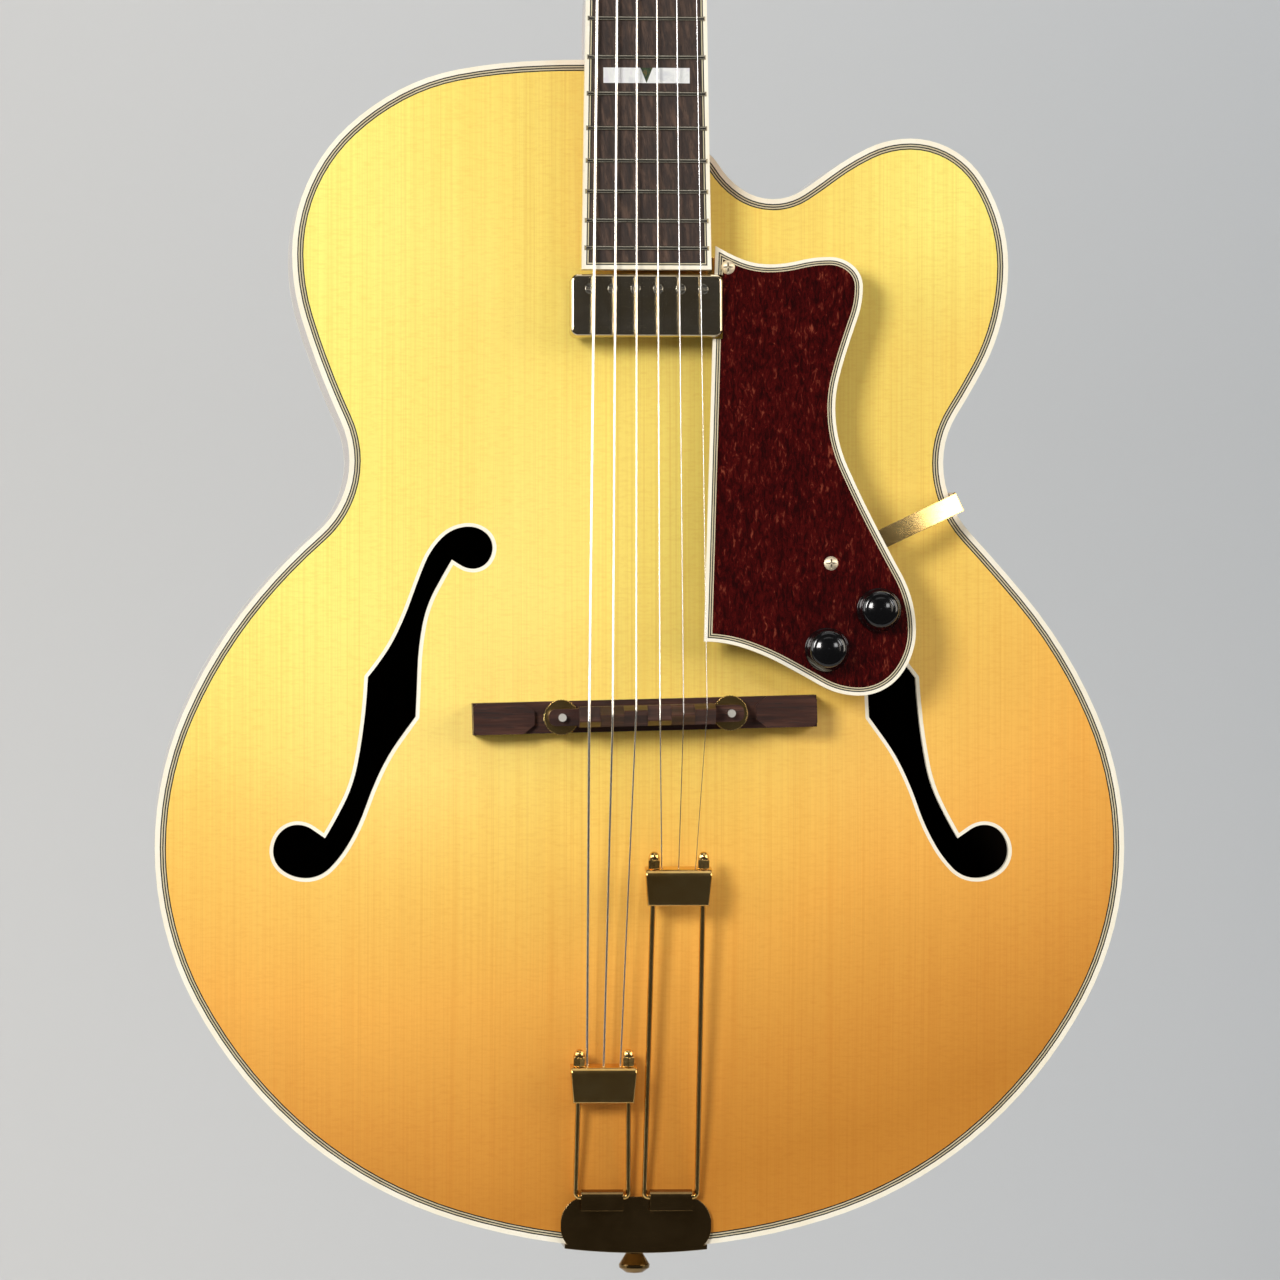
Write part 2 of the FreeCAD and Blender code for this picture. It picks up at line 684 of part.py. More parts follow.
def back_plate():
    slab = BODY.back_face.extrude(Vector(0, -PLATE, 0))
    return slab.common(prism(BODY.in_binding, REAR - PLATE - OVERRUN, REAR + BACK_ARCH + OVERRUN))


def top_binding():
    return ring(BODY.edge, BODY.in_binding, FRONT, FRONT + BINDING_HEIGHT)


def back_binding():
    return ring(BODY.edge, BODY.in_binding, REAR - BINDING_HEIGHT, REAR)


def top_purfling():
    lines = [BODY.inset(BINDING + PLY * k) for k in range(PLIES + 1)]
    return joined([ring(outer, inner, FRONT, FRONT + PLY_DEPTH) for outer, inner in zip(lines, lines[1:])])


def f_hole_binding():
    rings = [ring(outer, inner, APEX - OVERRUN, FRONT + OVERRUN).common(BODY.top_slab)
             for outer, inner in zip(BODY.f_outer, BODY.f_edges)]
    return joined(rings)


def sides():
    rim = ring(BODY.edge, BODY.in_rib, FRONT + PLATE, REAR - PLATE)
    start = Vector(JACK_X - RIB - OVERRUN, 0, JACK_Z)
    jack_hole = Part.makeCylinder(JACK_SLEEVE_RADIUS + SEAM, RIB + 2 * OVERRUN, start, X_AXIS)
    screws = [hole for _, hole in flange_screws()] + [strap_screw()[1]]
    return rim.cut([top_binding(), back_binding(), jack_hole, button_hole()] + screws)


def block_space(half_width, low, high):
    """Box through the whole depth of the body."""
    return block(-half_width, half_width, APEX, REAR + BACK_ARCH, low, high)


def inner_block(half_width, low, high):
    """Solid block between the plates, inside the sides."""
    inside = prism(BODY.in_rib, APEX, REAR + BACK_ARCH)
    blank = block_space(half_width, low, high).common(inside)
    return blank.cut([BODY.above_under_top, BODY.behind_under_back])


def neck_block_low():
    return BODY_LENGTH - RIB - NECK_BLOCK_LENGTH


def neck_block():
    return inner_block(NECK_BLOCK_WIDTH / 2, neck_block_low(), BODY_LENGTH)


def tail_block():
    solid = inner_block(TAIL_BLOCK_WIDTH / 2, 0, RIB + TAIL_BLOCK_LENGTH)
    return solid.cut([button_hole()] + [hole for _, hole in flange_screws()])


def linings():
    inner = BODY.inset(RIB + LINING)
    front = ring(BODY.in_rib, inner, FRONT + PLATE, FRONT + PLATE + LINING_HEIGHT)
    rear = ring(BODY.in_rib, inner, REAR - PLATE - LINING_HEIGHT, REAR - PLATE)
    gaps = [block_space(NECK_BLOCK_WIDTH / 2, neck_block_low(), BODY_LENGTH),
            block_space(TAIL_BLOCK_WIDTH / 2, 0, RIB + TAIL_BLOCK_LENGTH)]
    return joined([front.cut(gaps + [strap_screw()[1]]), rear.cut(gaps)])


def tone_bars():
    bars = []
    for side in (-1, 1):
        middle = side * BAR_X
        low, high = BAR_Z - BAR_LENGTH / 2, BAR_Z + BAR_LENGTH / 2
        bar = block(middle - BAR_WIDTH / 2, middle + BAR_WIDTH / 2, APEX, APEX + PLATE + BAR_DEPTH, low, high)
        bars.append(bar.cut(BODY.above_under_top))
    return joined(bars)


def fret_distance(number):
    """Distance of a fret from the nut."""
    return SCALE_LENGTH * (1 - 2 ** (-number / 12))


def board_half_width(distance):
    """Half the fretboard width at a distance from the nut."""
    return (NUT_WIDTH + (BOARD_END_WIDTH - NUT_WIDTH) * distance / BOARD_LENGTH) / 2


def board_prism(inset, front, back):
    """Fretboard outline, drawn in at its sides and lower end."""
    low = BOARD_LENGTH - inset
    return polygon_prism([
        (board_half_width(0) - inset, 0), (board_half_width(low) - inset, -low),
        (inset - board_half_width(low), -low), (inset - board_half_width(0), 0)], front, back)


def fret_tang(number):
    distance = fret_distance(number)
    half = board_half_width(distance) - BOARD_INSET
    return block(-half, half, 0, TANG_DEPTH, -distance - TANG_WIDTH / 2, TANG_WIDTH / 2 - distance)


def inlay_place(number):
    """Middle distance and half width of the inlay below a fret."""
    distance = (fret_distance(number - 1) + fret_distance(number)) / 2
    return distance, board_half_width(distance) * INLAY_WIDTH_SHARE


def inlay_blank(number):
    distance, half = inlay_place(number)
    return block(-half, half, 0, INLAY_DEPTH, -distance - INLAY_HEIGHT / 2, INLAY_HEIGHT / 2 - distance)


def inlay_wedge(number):
    distance, _ = inlay_place(number)
    high, low = INLAY_HEIGHT / 2 - distance, -distance - INLAY_HEIGHT / 2
    return polygon_prism([(-WEDGE_WIDTH / 2, high), (0, low), (WEDGE_WIDTH / 2, high)], 0, INLAY_DEPTH)


def fretboard():
    board = board_prism(BOARD_BINDING, 0, BOARD_THICK)
    channel = board_prism(0, -OVERRUN, PLY_DEPTH).cut(board_prism(BOARD_INSET, -OVERRUN, BOARD_THICK))
    cuts = [fret_tang(number) for number in range(1, FRETS + 1)]
    cuts += [inlay_blank(number) for number in INLAY_FRETS]
    return placed(board.cut([channel] + cuts), NECK_FRAME)


def fretboard_binding():
    edge = board_prism(0, 0, BOARD_THICK).cut(board_prism(BOARD_BINDING, -OVERRUN, BOARD_THICK + OVERRUN))
    lines = [edge]
    for k in range(BOARD_PLIES):
        outer = board_prism(BOARD_BINDING + BOARD_PLY * k, 0, PLY_DEPTH)
        inner = board_prism(BOARD_BINDING + BOARD_PLY * (k + 1), -OVERRUN, PLY_DEPTH + OVERRUN)
        lines.append(outer.cut(inner))
    return placed(joined(lines), NECK_FRAME)


def fret_bevel(half, distance, side):
    """What is filed off one end of a fret."""
    cutter = block(min(0, side * OVERRUN), max(0, side * OVERRUN), -OVERRUN, OVERRUN, -FRET_WIDTH, FRET_WIDTH)
    return placed(cutter, Placement(Vector(side * half, 0, -distance), Rotation(Z_AXIS, -side * FRET_BEVEL)))


def frets():
    solids = []
    for number in range(1, FRETS + 1):
        distance = fret_distance(number)
        half = board_half_width(distance) - FRET_INSET
        ends = [Vector(-half, 0, side * FRET_WIDTH / 2 - distance) for side in (-1, 1)]
        crest = Vector(-half, -FRET_HEIGHT, -distance)
        arc = Part.Arc(ends[0], crest, ends[1]).toShape()
        base = Part.LineSegment(ends[1], ends[0]).toShape()
        crown = Part.Face(Part.Wire([arc, base])).extrude(Vector(2 * half, 0, 0))
        crown = crown.cut([fret_bevel(half, distance, side) for side in (-1, 1)])
        solids.append(crown.fuse(fret_tang(number)))
    return placed(joined(solids), NECK_FRAME)


def inlay_blocks():
    return placed(joined([inlay_blank(n).cut(inlay_wedge(n)) for n in INLAY_FRETS]), NECK_FRAME)


def inlay_wedges():
    return placed(joined([inlay_wedge(n) for n in INLAY_FRETS]), NECK_FRAME)


def nut_string_x(index):
    return NUT_SPREAD * (index / (len(GAUGES) - 1) - 0.5)


def nut():
    half = NUT_WIDTH / 2
    blank = block(-half, half, -NUT_RISE, BOARD_THICK, 0, NUT_LENGTH)
    slots = []
    for index, gauge in enumerate(GAUGES):
        x = nut_string_x(index)
        half_slot = gauge / 2 + STRING_GAP
        slots.append(block(x - half_slot, x + half_slot, -NUT_RISE - OVERRUN, STRING_GAP - NUT_ACTION,
                           -OVERRUN, NUT_LENGTH + OVERRUN))
    return placed(blank.cut(slots), NECK_FRAME)


def neck_section(along, half_width, depth):
    """Closed section of the neck behind the fretboard: flat in front, round behind."""
    curve = []
    for k in range(NECK_SECTION_STEPS + 1):
        angle = math.pi * k / NECK_SECTION_STEPS
        inside = 0 < k < NECK_SECTION_STEPS
        back = depth * math.sin(angle) ** NECK_ROUND_SHARE if inside else 0.0
        curve.append(Vector(half_width * math.cos(angle), BOARD_THICK + back, along))
    spline = Part.BSplineCurve()
    spline.interpolate(curve)
    return Part.Wire([Part.LineSegment(curve[-1], curve[0]).toShape(), spline.toShape()])


def heel_depth(share, deep):
    """Depth of the neck at a share of the way along the heel's sweep."""
    rise = min(share / HEEL_RISE_SHARE, 1.0)
    return NECK_DEPTH_HEEL + (deep - NECK_DEPTH_HEEL) * rise ** 3 * (10 - 15 * rise + 6 * rise ** 2)


def neck_blank():
    """Neck shaft and heel, before the body plane trims the heel, in the neck's frame."""
    joint = NUT_Z - BODY_LENGTH
    deep = (REAR - NUT_Y + joint * math.sin(TILT) - BOARD_THICK) * HEEL_REACH_SHARE
    start = joint + OVERRUN / 2 - HEEL_SWEEP
    shaft = Part.makeLoft([neck_section(NUT_LENGTH + HEAD_ROOT, NUT_WIDTH / 2, NECK_DEPTH_NUT),
                           neck_section(0, NUT_WIDTH / 2, NECK_DEPTH_NUT),
                           neck_section(-start, board_half_width(start), NECK_DEPTH_HEEL)], True, True)
    sections = []
    for k in range(HEEL_STEPS + 1):
        distance = start + HEEL_SWEEP * k / HEEL_STEPS
        sections.append(neck_section(-distance, board_half_width(distance), heel_depth(k / HEEL_STEPS, deep)))
    return shaft.fuse(Part.makeLoft(sections, True))


def neck_whole():
    """Neck with heel and headstock wood, before the heel cap is sliced off."""
    shaft = neck_blank()
    head_local = Placement(Vector(0, BOARD_THICK, NUT_LENGTH), Rotation(X_AXIS, -HEAD_ANGLE))
    shaft = shaft.cut(placed(block(-HEAD_WIDTH, HEAD_WIDTH, -OVERRUN, OVERLAY, 0, HEAD_LENGTH), head_local))
    head = placed(prism(head_outline(0), OVERLAY, HEAD_THICK), head_local)
    whole = placed(shaft.fuse(head), NECK_FRAME)
    body_space = block(-HALF_BOUT, HALF_BOUT, APEX - OVERRUN, REAR + OVERRUN, 0, BODY_LENGTH)
    low = BOARD_LENGTH - TONGUE_INSET
    joint = NUT_Z - BODY_LENGTH - TONGUE_INSET
    half_low, half_high = board_half_width(low) - TONGUE_INSET, board_half_width(joint) - TONGUE_INSET
    tongue = polygon_prism([(half_high, -joint), (half_low, -low), (-half_low, -low), (-half_high, -joint)],
                           BOARD_THICK, BOARD_THICK + TONGUE)
    return whole.cut(body_space).fuse(placed(tongue, NECK_FRAME)).removeSplitter()


def heel_slice(front, back):
    return block(-HALF_BOUT, HALF_BOUT, front, back, BODY_LENGTH - OVERRUN, BODY_LENGTH + HEEL_SWEEP)


def neck():
    solid = neck_whole().cut(heel_slice(REAR - HEEL_CAP, REAR + BODY_LENGTH))
    channel = block(-ROD_CHANNEL / 2, ROD_CHANNEL / 2, BOARD_THICK, BOARD_THICK + ROD_CHANNEL_DEPTH,
                    NUT_LENGTH - ROD_LENGTH, NUT_LENGTH + POCKET_LENGTH / 2)
    tuner_cuts = []
    for index in range(len(GAUGES)):
        x, z = tuner_place(index)
        tuner_cuts.append(Part.makeCylinder(BUSHING_RADIUS + SEAM, HEAD_THICK, Vector(x, 0, z), Y_AXIS))
        tuner_cuts.append(tuner_screw(index)[1])
    cover_cuts = [hole for _, hole in cover_screws()]
    head_cuts = joined([pocket()] + tuner_cuts + cover_cuts)
    return solid.cut([placed(channel, NECK_FRAME), placed(head_cuts, HEAD_FRAME)] + [
        hole for _, hole in bracket_screws()])


def heel_cap():
    return neck_whole().common(heel_slice(REAR - HEEL_CAP, REAR))


def truss_rod():
    middle = BOARD_THICK + ROD_CHANNEL_DEPTH - ROD_CHANNEL / 2
    low = Vector(0, middle, NUT_LENGTH - ROD_LENGTH + SWING_GAP)
    rod = Part.makeCylinder(ROD_RADIUS, ROD_LENGTH - SWING_GAP, low, Z_AXIS)
    end = Vector(0, middle, NUT_LENGTH)
    nut_blank = Part.makeCylinder(ROD_NUT_RADIUS, ROD_NUT_LENGTH, end, Z_AXIS)
    middle_of_nut = end + Z_AXIS * (ROD_NUT_LENGTH / 2)
    socket = Part.makeCylinder(ROD_NUT_RADIUS / 2, ROD_NUT_LENGTH, middle_of_nut, Z_AXIS)
    return placed(joined([rod, nut_blank.cut(socket)]), NECK_FRAME)


def head_outline(inset):
    edge = symmetric(HEAD_SHARES, HEAD_WIDTH / 2, HEAD_LENGTH)
    return edge.makeOffset2D(-inset) if inset else edge


def pocket():
    """Recess for the truss rod nut, in the headstock's frame."""
    return block(-POCKET_WIDTH / 2, POCKET_WIDTH / 2, -OVERRUN, POCKET_DEPTH, -SEAM, POCKET_LENGTH)


def headstock_overlay():
    plate = prism(head_outline(HEAD_BINDING), 0, OVERLAY)
    holes = [pocket()]
    for index in range(len(GAUGES)):
        x, z = tuner_place(index)
        holes.append(Part.makeCylinder(BUSHING_RADIUS + SEAM, HEAD_THICK, Vector(x, -OVERLAY, z), Y_AXIS))
    holes += [hole for _, hole in cover_screws()]
    return placed(plate.cut(holes), HEAD_FRAME)


def headstock_binding():
    return placed(ring(head_outline(0), head_outline(HEAD_BINDING), 0, OVERLAY), HEAD_FRAME)


def truss_rod_cover():
    plate = prism(symmetric(COVER_SHARES, COVER_WIDTH / 2, COVER_LENGTH, COVER_START), -COVER_THICK, 0)
    return placed(plate.cut([hole for _, hole in cover_screws()]), HEAD_FRAME)


def cover_screws():
    """Screws of the truss rod cover with their holes, in the headstock's frame."""
    places = [Vector(0, -COVER_THICK, COVER_START + COVER_LENGTH - 2 * SMALL_HEAD_RADIUS)]
    for side in (-1, 1):
        x = side * (COVER_WIDTH / 2 - COVER_SCREW_INSET)
        places.append(Vector(x, -COVER_THICK, COVER_START + 2 * SMALL_HEAD_RADIUS))
    front = -Y_AXIS
    return [(small_screw(base, front), screw_hole(SMALL_RADIUS, SMALL_SCREW_LENGTH, base, front))
            for base in places]


def tuner_place(index):
    """Place of a string post on the headstock. Bass strings run to the left side."""
    rank = index if index < BASS_STRINGS else len(GAUGES) - 1 - index
    side = -1 if index < BASS_STRINGS else 1
    return side * TUNER_X, TUNER_FIRST + TUNER_STEP * rank


def tuner_fit(shape, index):
    """A tuner piece drawn for the right side, moved to its place and mirrored on the left side."""
    x, z = tuner_place(index)
    fitted = shape if x > 0 else shape.mirror(ORIGIN, X_AXIS)
    return placed(fitted, HEAD_FRAME.multiply(Placement(Vector(x, 0, z), Rotation())))


def tuner_screw(index):
    """Screw of a tuner housing with its hole, in the headstock's frame."""
    x, z = tuner_place(index)
    base = Vector(x, HEAD_THICK + HOUSING_WALL, z + TUNER_SCREW_OFFSET)
    return small_screw(base, Y_AXIS), screw_hole(SMALL_RADIUS, SMALL_SCREW_LENGTH, base, Y_AXIS)


def tuner_housing():
    """Closed gear case with its screw ear, drawn for the right side."""
    half = HOUSING_WIDTH / 2
    low = WORM_Z - WORM_PITCH_RADIUS - GEAR_ADDENDUM - CAVITY_GAP - HOUSING_WALL
    high = GEAR_PITCH_RADIUS + GEAR_ADDENDUM + CAVITY_GAP + HOUSING_WALL
    case = block(-half, half, HEAD_THICK, HEAD_THICK + HOUSING_DEPTH, low, high)
    outer_edges = [edge for edge in case.Edges
                   if max(vertex.Point.y for vertex in edge.Vertexes) > HEAD_THICK + SEAM]
    case = case.makeFillet(HOUSING_FILLET, outer_edges)
    ear = block(-2 * SMALL_HEAD_RADIUS, 2 * SMALL_HEAD_RADIUS, HEAD_THICK, HEAD_THICK + HOUSING_WALL,
                0, TUNER_SCREW_OFFSET + 2 * SMALL_HEAD_RADIUS)
    gear_space = GEAR_PITCH_RADIUS + GEAR_ADDENDUM + CAVITY_GAP
    gear_depth = GEAR_WIDTH + 2 * CAVITY_GAP
    worm_space = WORM_PITCH_RADIUS + GEAR_ADDENDUM + CAVITY_GAP
    worm_length = WORM_TURNS * WORM_LEAD + 2 * CAVITY_GAP
    gear_start = Vector(0, GEAR_Y - gear_depth / 2, 0)
    cuts = [
        Part.makeCylinder(gear_space, gear_depth, gear_start, Y_AXIS),
        Part.makeCylinder(worm_space, worm_length, Vector(-worm_length / 2, GEAR_Y, WORM_Z), X_AXIS),
        Part.makeCylinder(SHAFT_RADIUS + RUNNING_GAP, half + OVERRUN, Vector(0, GEAR_Y, WORM_Z), X_AXIS),
        Part.makeCylinder(POST_RADIUS + RUNNING_GAP, GEAR_Y, Vector(0, 0, 0), Y_AXIS),
        screw_hole(SMALL_RADIUS, SMALL_SCREW_LENGTH,
                   Vector(0, HEAD_THICK + HOUSING_WALL, TUNER_SCREW_OFFSET), Y_AXIS)]
    return case.fuse(ear).cut(cuts)


def tuner_housings():
    housing = tuner_housing()
    return joined([tuner_fit(housing, index) for index in range(len(GAUGES))])


def tuner_bushings():
    """Hexagon bushings with their washers, which draw the housings to the headstock."""
    bore = Part.makeCylinder(POST_RADIUS + RUNNING_GAP, OVERRUN * 2, Vector(0, -OVERRUN, 0), Y_AXIS)
    sleeve = Part.makeCylinder(BUSHING_RADIUS, BUSHING_DEPTH, ORIGIN, Y_AXIS)
    washer = Part.makeCylinder(WASHER_RADIUS, WASHER_THICK, Vector(0, -WASHER_THICK, 0), Y_AXIS)
    corners = [(HEX_RADIUS * math.cos(math.pi * k / 3), HEX_RADIUS * math.sin(math.pi * k / 3))
               for k in range(6)]
    hexagon = polygon_prism(corners, -WASHER_THICK - HEX_HEIGHT, -WASHER_THICK)
    bushing = sleeve.fuse([washer, hexagon]).cut(bore)
    return joined([tuner_fit(bushing, index) for index in range(len(GAUGES))])


def gear_section(turn, depth):
    """Tooth outline of the post's gear at a depth, with a gap between teeth facing the worm."""
    pitch = 2 * math.pi / GEAR_TEETH
    root, tip = GEAR_PITCH_RADIUS - GEAR_DEDENDUM, GEAR_PITCH_RADIUS + GEAR_ADDENDUM
    corners = []
    for tooth in range(GEAR_TEETH):
        middle = -math.pi / 2 + turn + pitch * (tooth + 0.5)
        for radius, share in ((root, -TOOTH_ROOT_SHARE), (tip, -TOOTH_TIP_SHARE),
                              (tip, TOOTH_TIP_SHARE), (root, TOOTH_ROOT_SHARE)):
            angle = middle + pitch * share
            corners.append(Vector(radius * math.cos(angle), depth, radius * math.sin(angle)))
    return Part.makePolygon(corners + corners[:1])


def tuner_post():
    """String post with its gear, drawn for the right side."""
    back = GEAR_Y + GEAR_WIDTH / 2
    shoulder = GEAR_Y - GEAR_WIDTH / 2 - SEAM
    post = Part.makeCylinder(POST_RADIUS, shoulder + POST_RISE, Vector(0, -POST_RISE, 0), Y_AXIS)
    neck_end = Part.makeCylinder(POST_NECK_RADIUS, back - shoulder, Vector(0, shoulder, 0), Y_AXIS)
    hole = Part.makeCylinder(POST_HOLE_RADIUS, 2 * OVERRUN, Vector(-OVERRUN, -POST_HOLE_RISE, 0), X_AXIS)
    post = post.fuse(neck_end).cut(hole)
    lead_angle = WORM_LEAD / (2 * math.pi * WORM_PITCH_RADIUS)
    twist = GEAR_WIDTH / 2 * lead_angle / GEAR_PITCH_RADIUS
    sections = [gear_section(-sign * twist, GEAR_Y + sign * GEAR_WIDTH / 2) for sign in (-1, 1)]
    gear = Part.makeLoft(sections, True, True)
    bore = Part.makeCylinder(POST_NECK_RADIUS + SEAM, GEAR_WIDTH + 2 * OVERRUN,
                             Vector(0, GEAR_Y - OVERRUN, 0), Y_AXIS)
    return joined([post, gear.cut(bore)])


def worm():
    """Single-start worm along X through the origin, with a crest towards the gear at its middle."""
    root, tip = WORM_PITCH_RADIUS - GEAR_DEDENDUM, WORM_PITCH_RADIUS + GEAR_ADDENDUM
    length = WORM_TURNS * WORM_LEAD
    crest = 90 - 360 * WORM_TURNS / 2

    def rim_point(radius, share):
        angle = math.radians(crest + 360 * share)
        return Vector(-length / 2, radius * math.cos(angle), radius * math.sin(angle))

    tip_ends = [rim_point(tip, share) for share in (-TOOTH_TIP_SHARE, TOOTH_TIP_SHARE)]
    root_ends = [rim_point(root, share) for share in (TOOTH_ROOT_SHARE, 1 - TOOTH_ROOT_SHARE)]
    profile = Part.Wire([
        Part.Arc(tip_ends[0], rim_point(tip, 0), tip_ends[1]).toShape(),
        Part.LineSegment(tip_ends[1], root_ends[0]).toShape(),
        Part.Arc(root_ends[0], rim_point(root, 0.5), root_ends[1]).toShape(),
        Part.LineSegment(root_ends[1], tip_ends[0]).toShape()])
    start = Vector(-length / 2, 0, 0)
    spine = Part.Wire([Part.LineSegment(start, start + X_AXIS * length).toShape()])
    guide = placed(Part.makeHelix(WORM_LEAD, length, tip), Placement(start, Rotation(Y_AXIS, 90)))
    sweep = Part.BRepOffsetAPI.MakePipeShell(spine)
    sweep.setAuxiliarySpine(Part.Wire(guide.Edges), True, 0)
    sweep.add(profile)
    sweep.build()
    sweep.makeSolid()
    return sweep.shape()


def tuner_key(index):
    """Button on a worm shaft, drawn for the right side and moved to its place."""
    thread = worm()
    reach = HEAD_WIDTH / 2 - TUNER_X + KEY_GAP
    worm_end = WORM_TURNS * WORM_LEAD / 2
    core = WORM_PITCH_RADIUS - GEAR_DEDENDUM
    shaft = Part.makeCylinder(core, reach + BUTTON_LENGTH / 2 - worm_end, Vector(worm_end, 0, 0), X_AXIS)
    collar_start = Vector(HOUSING_WIDTH / 2 + SWING_GAP, 0, 0)
    collar = Part.makeCylinder(COLLAR_RADIUS, COLLAR_LENGTH, collar_start, X_AXIS)
    button_edge = symmetric(BUTTON_SHARES, BUTTON_WIDTH / 2, BUTTON_LENGTH)
    button = prism(button_edge, -BUTTON_THICK / 2, BUTTON_THICK / 2)
    button = button.makeFillet(BUTTON_FILLET, [edge for edge in button.Edges if not edge_runs_deep(edge)])
    button = placed(button, Placement(Vector(reach, 0, 0), Rotation(Y_AXIS, 90)))
    sleeve_start = collar_start.x + COLLAR_LENGTH
    sleeve = Part.makeCylinder(COLLAR_RADIUS, reach + BUTTON_LENGTH / 3 - sleeve_start,
                               Vector(sleeve_start, 0, 0), X_AXIS)
    bore = Part.makeCylinder(core + SEAM / 2, reach + BUTTON_LENGTH / 2 + SEAM, ORIGIN, X_AXIS)
    grip = button.fuse(sleeve).cut(bore)
    solids = joined([thread.fuse(shaft).fuse(collar), grip])
    return tuner_fit(placed(solids, Placement(Vector(0, GEAR_Y, WORM_Z), Rotation())), index)


def edge_runs_deep(edge):
    """Whether an edge runs between the two faces of a flat shape."""
    return abs(edge.BoundBox.YLength) > SEAM


def pickup_cover():
    low, high = PICKUP_Z - PICKUP_LENGTH / 2, PICKUP_Z + PICKUP_LENGTH / 2
    outer = prism(rounded_box_outline(PICKUP_WIDTH / 2, low, high, PICKUP_CORNER), PICKUP_DROP,
                  PICKUP_DROP + PICKUP_HEIGHT)
    rim = [edge for edge in outer.Edges if edge.BoundBox.YMax < PICKUP_DROP + SEAM]
    outer = outer.makeFillet(PICKUP_EDGE, rim)
    inner = prism(rounded_box_outline(PICKUP_WIDTH / 2 - PICKUP_WALL, low + PICKUP_WALL, high - PICKUP_WALL,
                                      PICKUP_CORNER - PICKUP_WALL),
                  PICKUP_DROP + PICKUP_WALL, PICKUP_DROP + PICKUP_HEIGHT + OVERRUN)
    inner_rim = [edge for edge in inner.Edges if edge.BoundBox.YMax < PICKUP_DROP + PICKUP_WALL + SEAM]
    inner = inner.makeFillet(PICKUP_EDGE - PICKUP_WALL / 2, inner_rim)
    holes = [pole(POLE_HEAD_RADIUS + SEAM, k, PICKUP_DROP - OVERRUN, PICKUP_DROP + OVERRUN)
             for k in range(len(GAUGES))]
    return placed(outer.cut([inner] + holes), NECK_FRAME)


def pole(radius, index, front, back):
    """Cylinder about the axis of a pole screw, in the neck's frame."""
    x = POLE_PITCH * (index - (len(GAUGES) - 1) / 2)
    return Part.makeCylinder(radius, back - front, Vector(x, front, PICKUP_Z + POLE_OFFSET), Y_AXIS)


def pickup_pole_screws():
    screws = []
    top = PICKUP_DROP - POLE_HEAD_RISE
    for index in range(len(GAUGES)):
        head = pole(POLE_HEAD_RADIUS, index, top, PICKUP_DROP + PICKUP_WALL)
        x = head.CenterOfMass.x
        slot = block(x - POLE_HEAD_RADIUS, x + POLE_HEAD_RADIUS, top - OVERRUN, PICKUP_DROP,
                     PICKUP_Z + POLE_OFFSET - SLOT_WIDTH / 2, PICKUP_Z + POLE_OFFSET + SLOT_WIDTH / 2)
        shank = pole(POLE_RADIUS, index, PICKUP_DROP + PICKUP_WALL, PICKUP_DROP + POLE_LENGTH)
        screws.append(head.cut(slot).fuse(shank))
    return placed(joined(screws), NECK_FRAME)


def pickup_coils():
    """Base plate, two bobbins and the magnet between them, inside the cover."""
    inside = PICKUP_WALL + SEAM
    low, high = PICKUP_Z - PICKUP_LENGTH / 2 + inside, PICKUP_Z + PICKUP_LENGTH / 2 - inside
    bottom = PICKUP_DROP + PICKUP_HEIGHT
    plate = prism(rounded_box_outline(PICKUP_WIDTH / 2 - inside, low, high, PICKUP_CORNER - PICKUP_WALL),
                  bottom - BASE_PLATE, bottom)
    under = bottom - BASE_PLATE
    magnet_top = under - MAGNET_HEIGHT
    magnet = block(-BOBBIN_WIDTH / 2, BOBBIN_WIDTH / 2, magnet_top, under,
                   PICKUP_Z - BOBBIN_LENGTH / 4, PICKUP_Z + BOBBIN_LENGTH / 4)
    bobbins = []
    for side in (-1, 1):
        middle = PICKUP_Z + side * POLE_OFFSET
        half = min(BOBBIN_LENGTH / 2, POLE_OFFSET - SEAM)
        bobbins.append(block(-BOBBIN_WIDTH / 2, BOBBIN_WIDTH / 2, PICKUP_DROP + PICKUP_WALL + PICKUP_EDGE,
                             magnet_top, middle - half, middle + half))
    holes = [pole(POLE_RADIUS + SCREW_GAP, k, PICKUP_DROP, bottom - BASE_PLATE) for k in range(len(GAUGES))]
    bobbins[1] = bobbins[1].cut(holes)
    plate = plate.cut([placed(hole, NECK_FRAME.inverse()) for _, hole in bracket_screws()])
    return placed(joined([plate, magnet] + bobbins), NECK_FRAME)


def guard_point(shares):
    """Place on the pickguard's face, in its own frame."""
    return Vector(GUARD_LENGTH * shares[0], 0, GUARD_LENGTH * shares[1])


def bracket_face():
    """Depth of the pickup bracket's front face in the neck's frame."""
    return BOARD_THICK + TONGUE


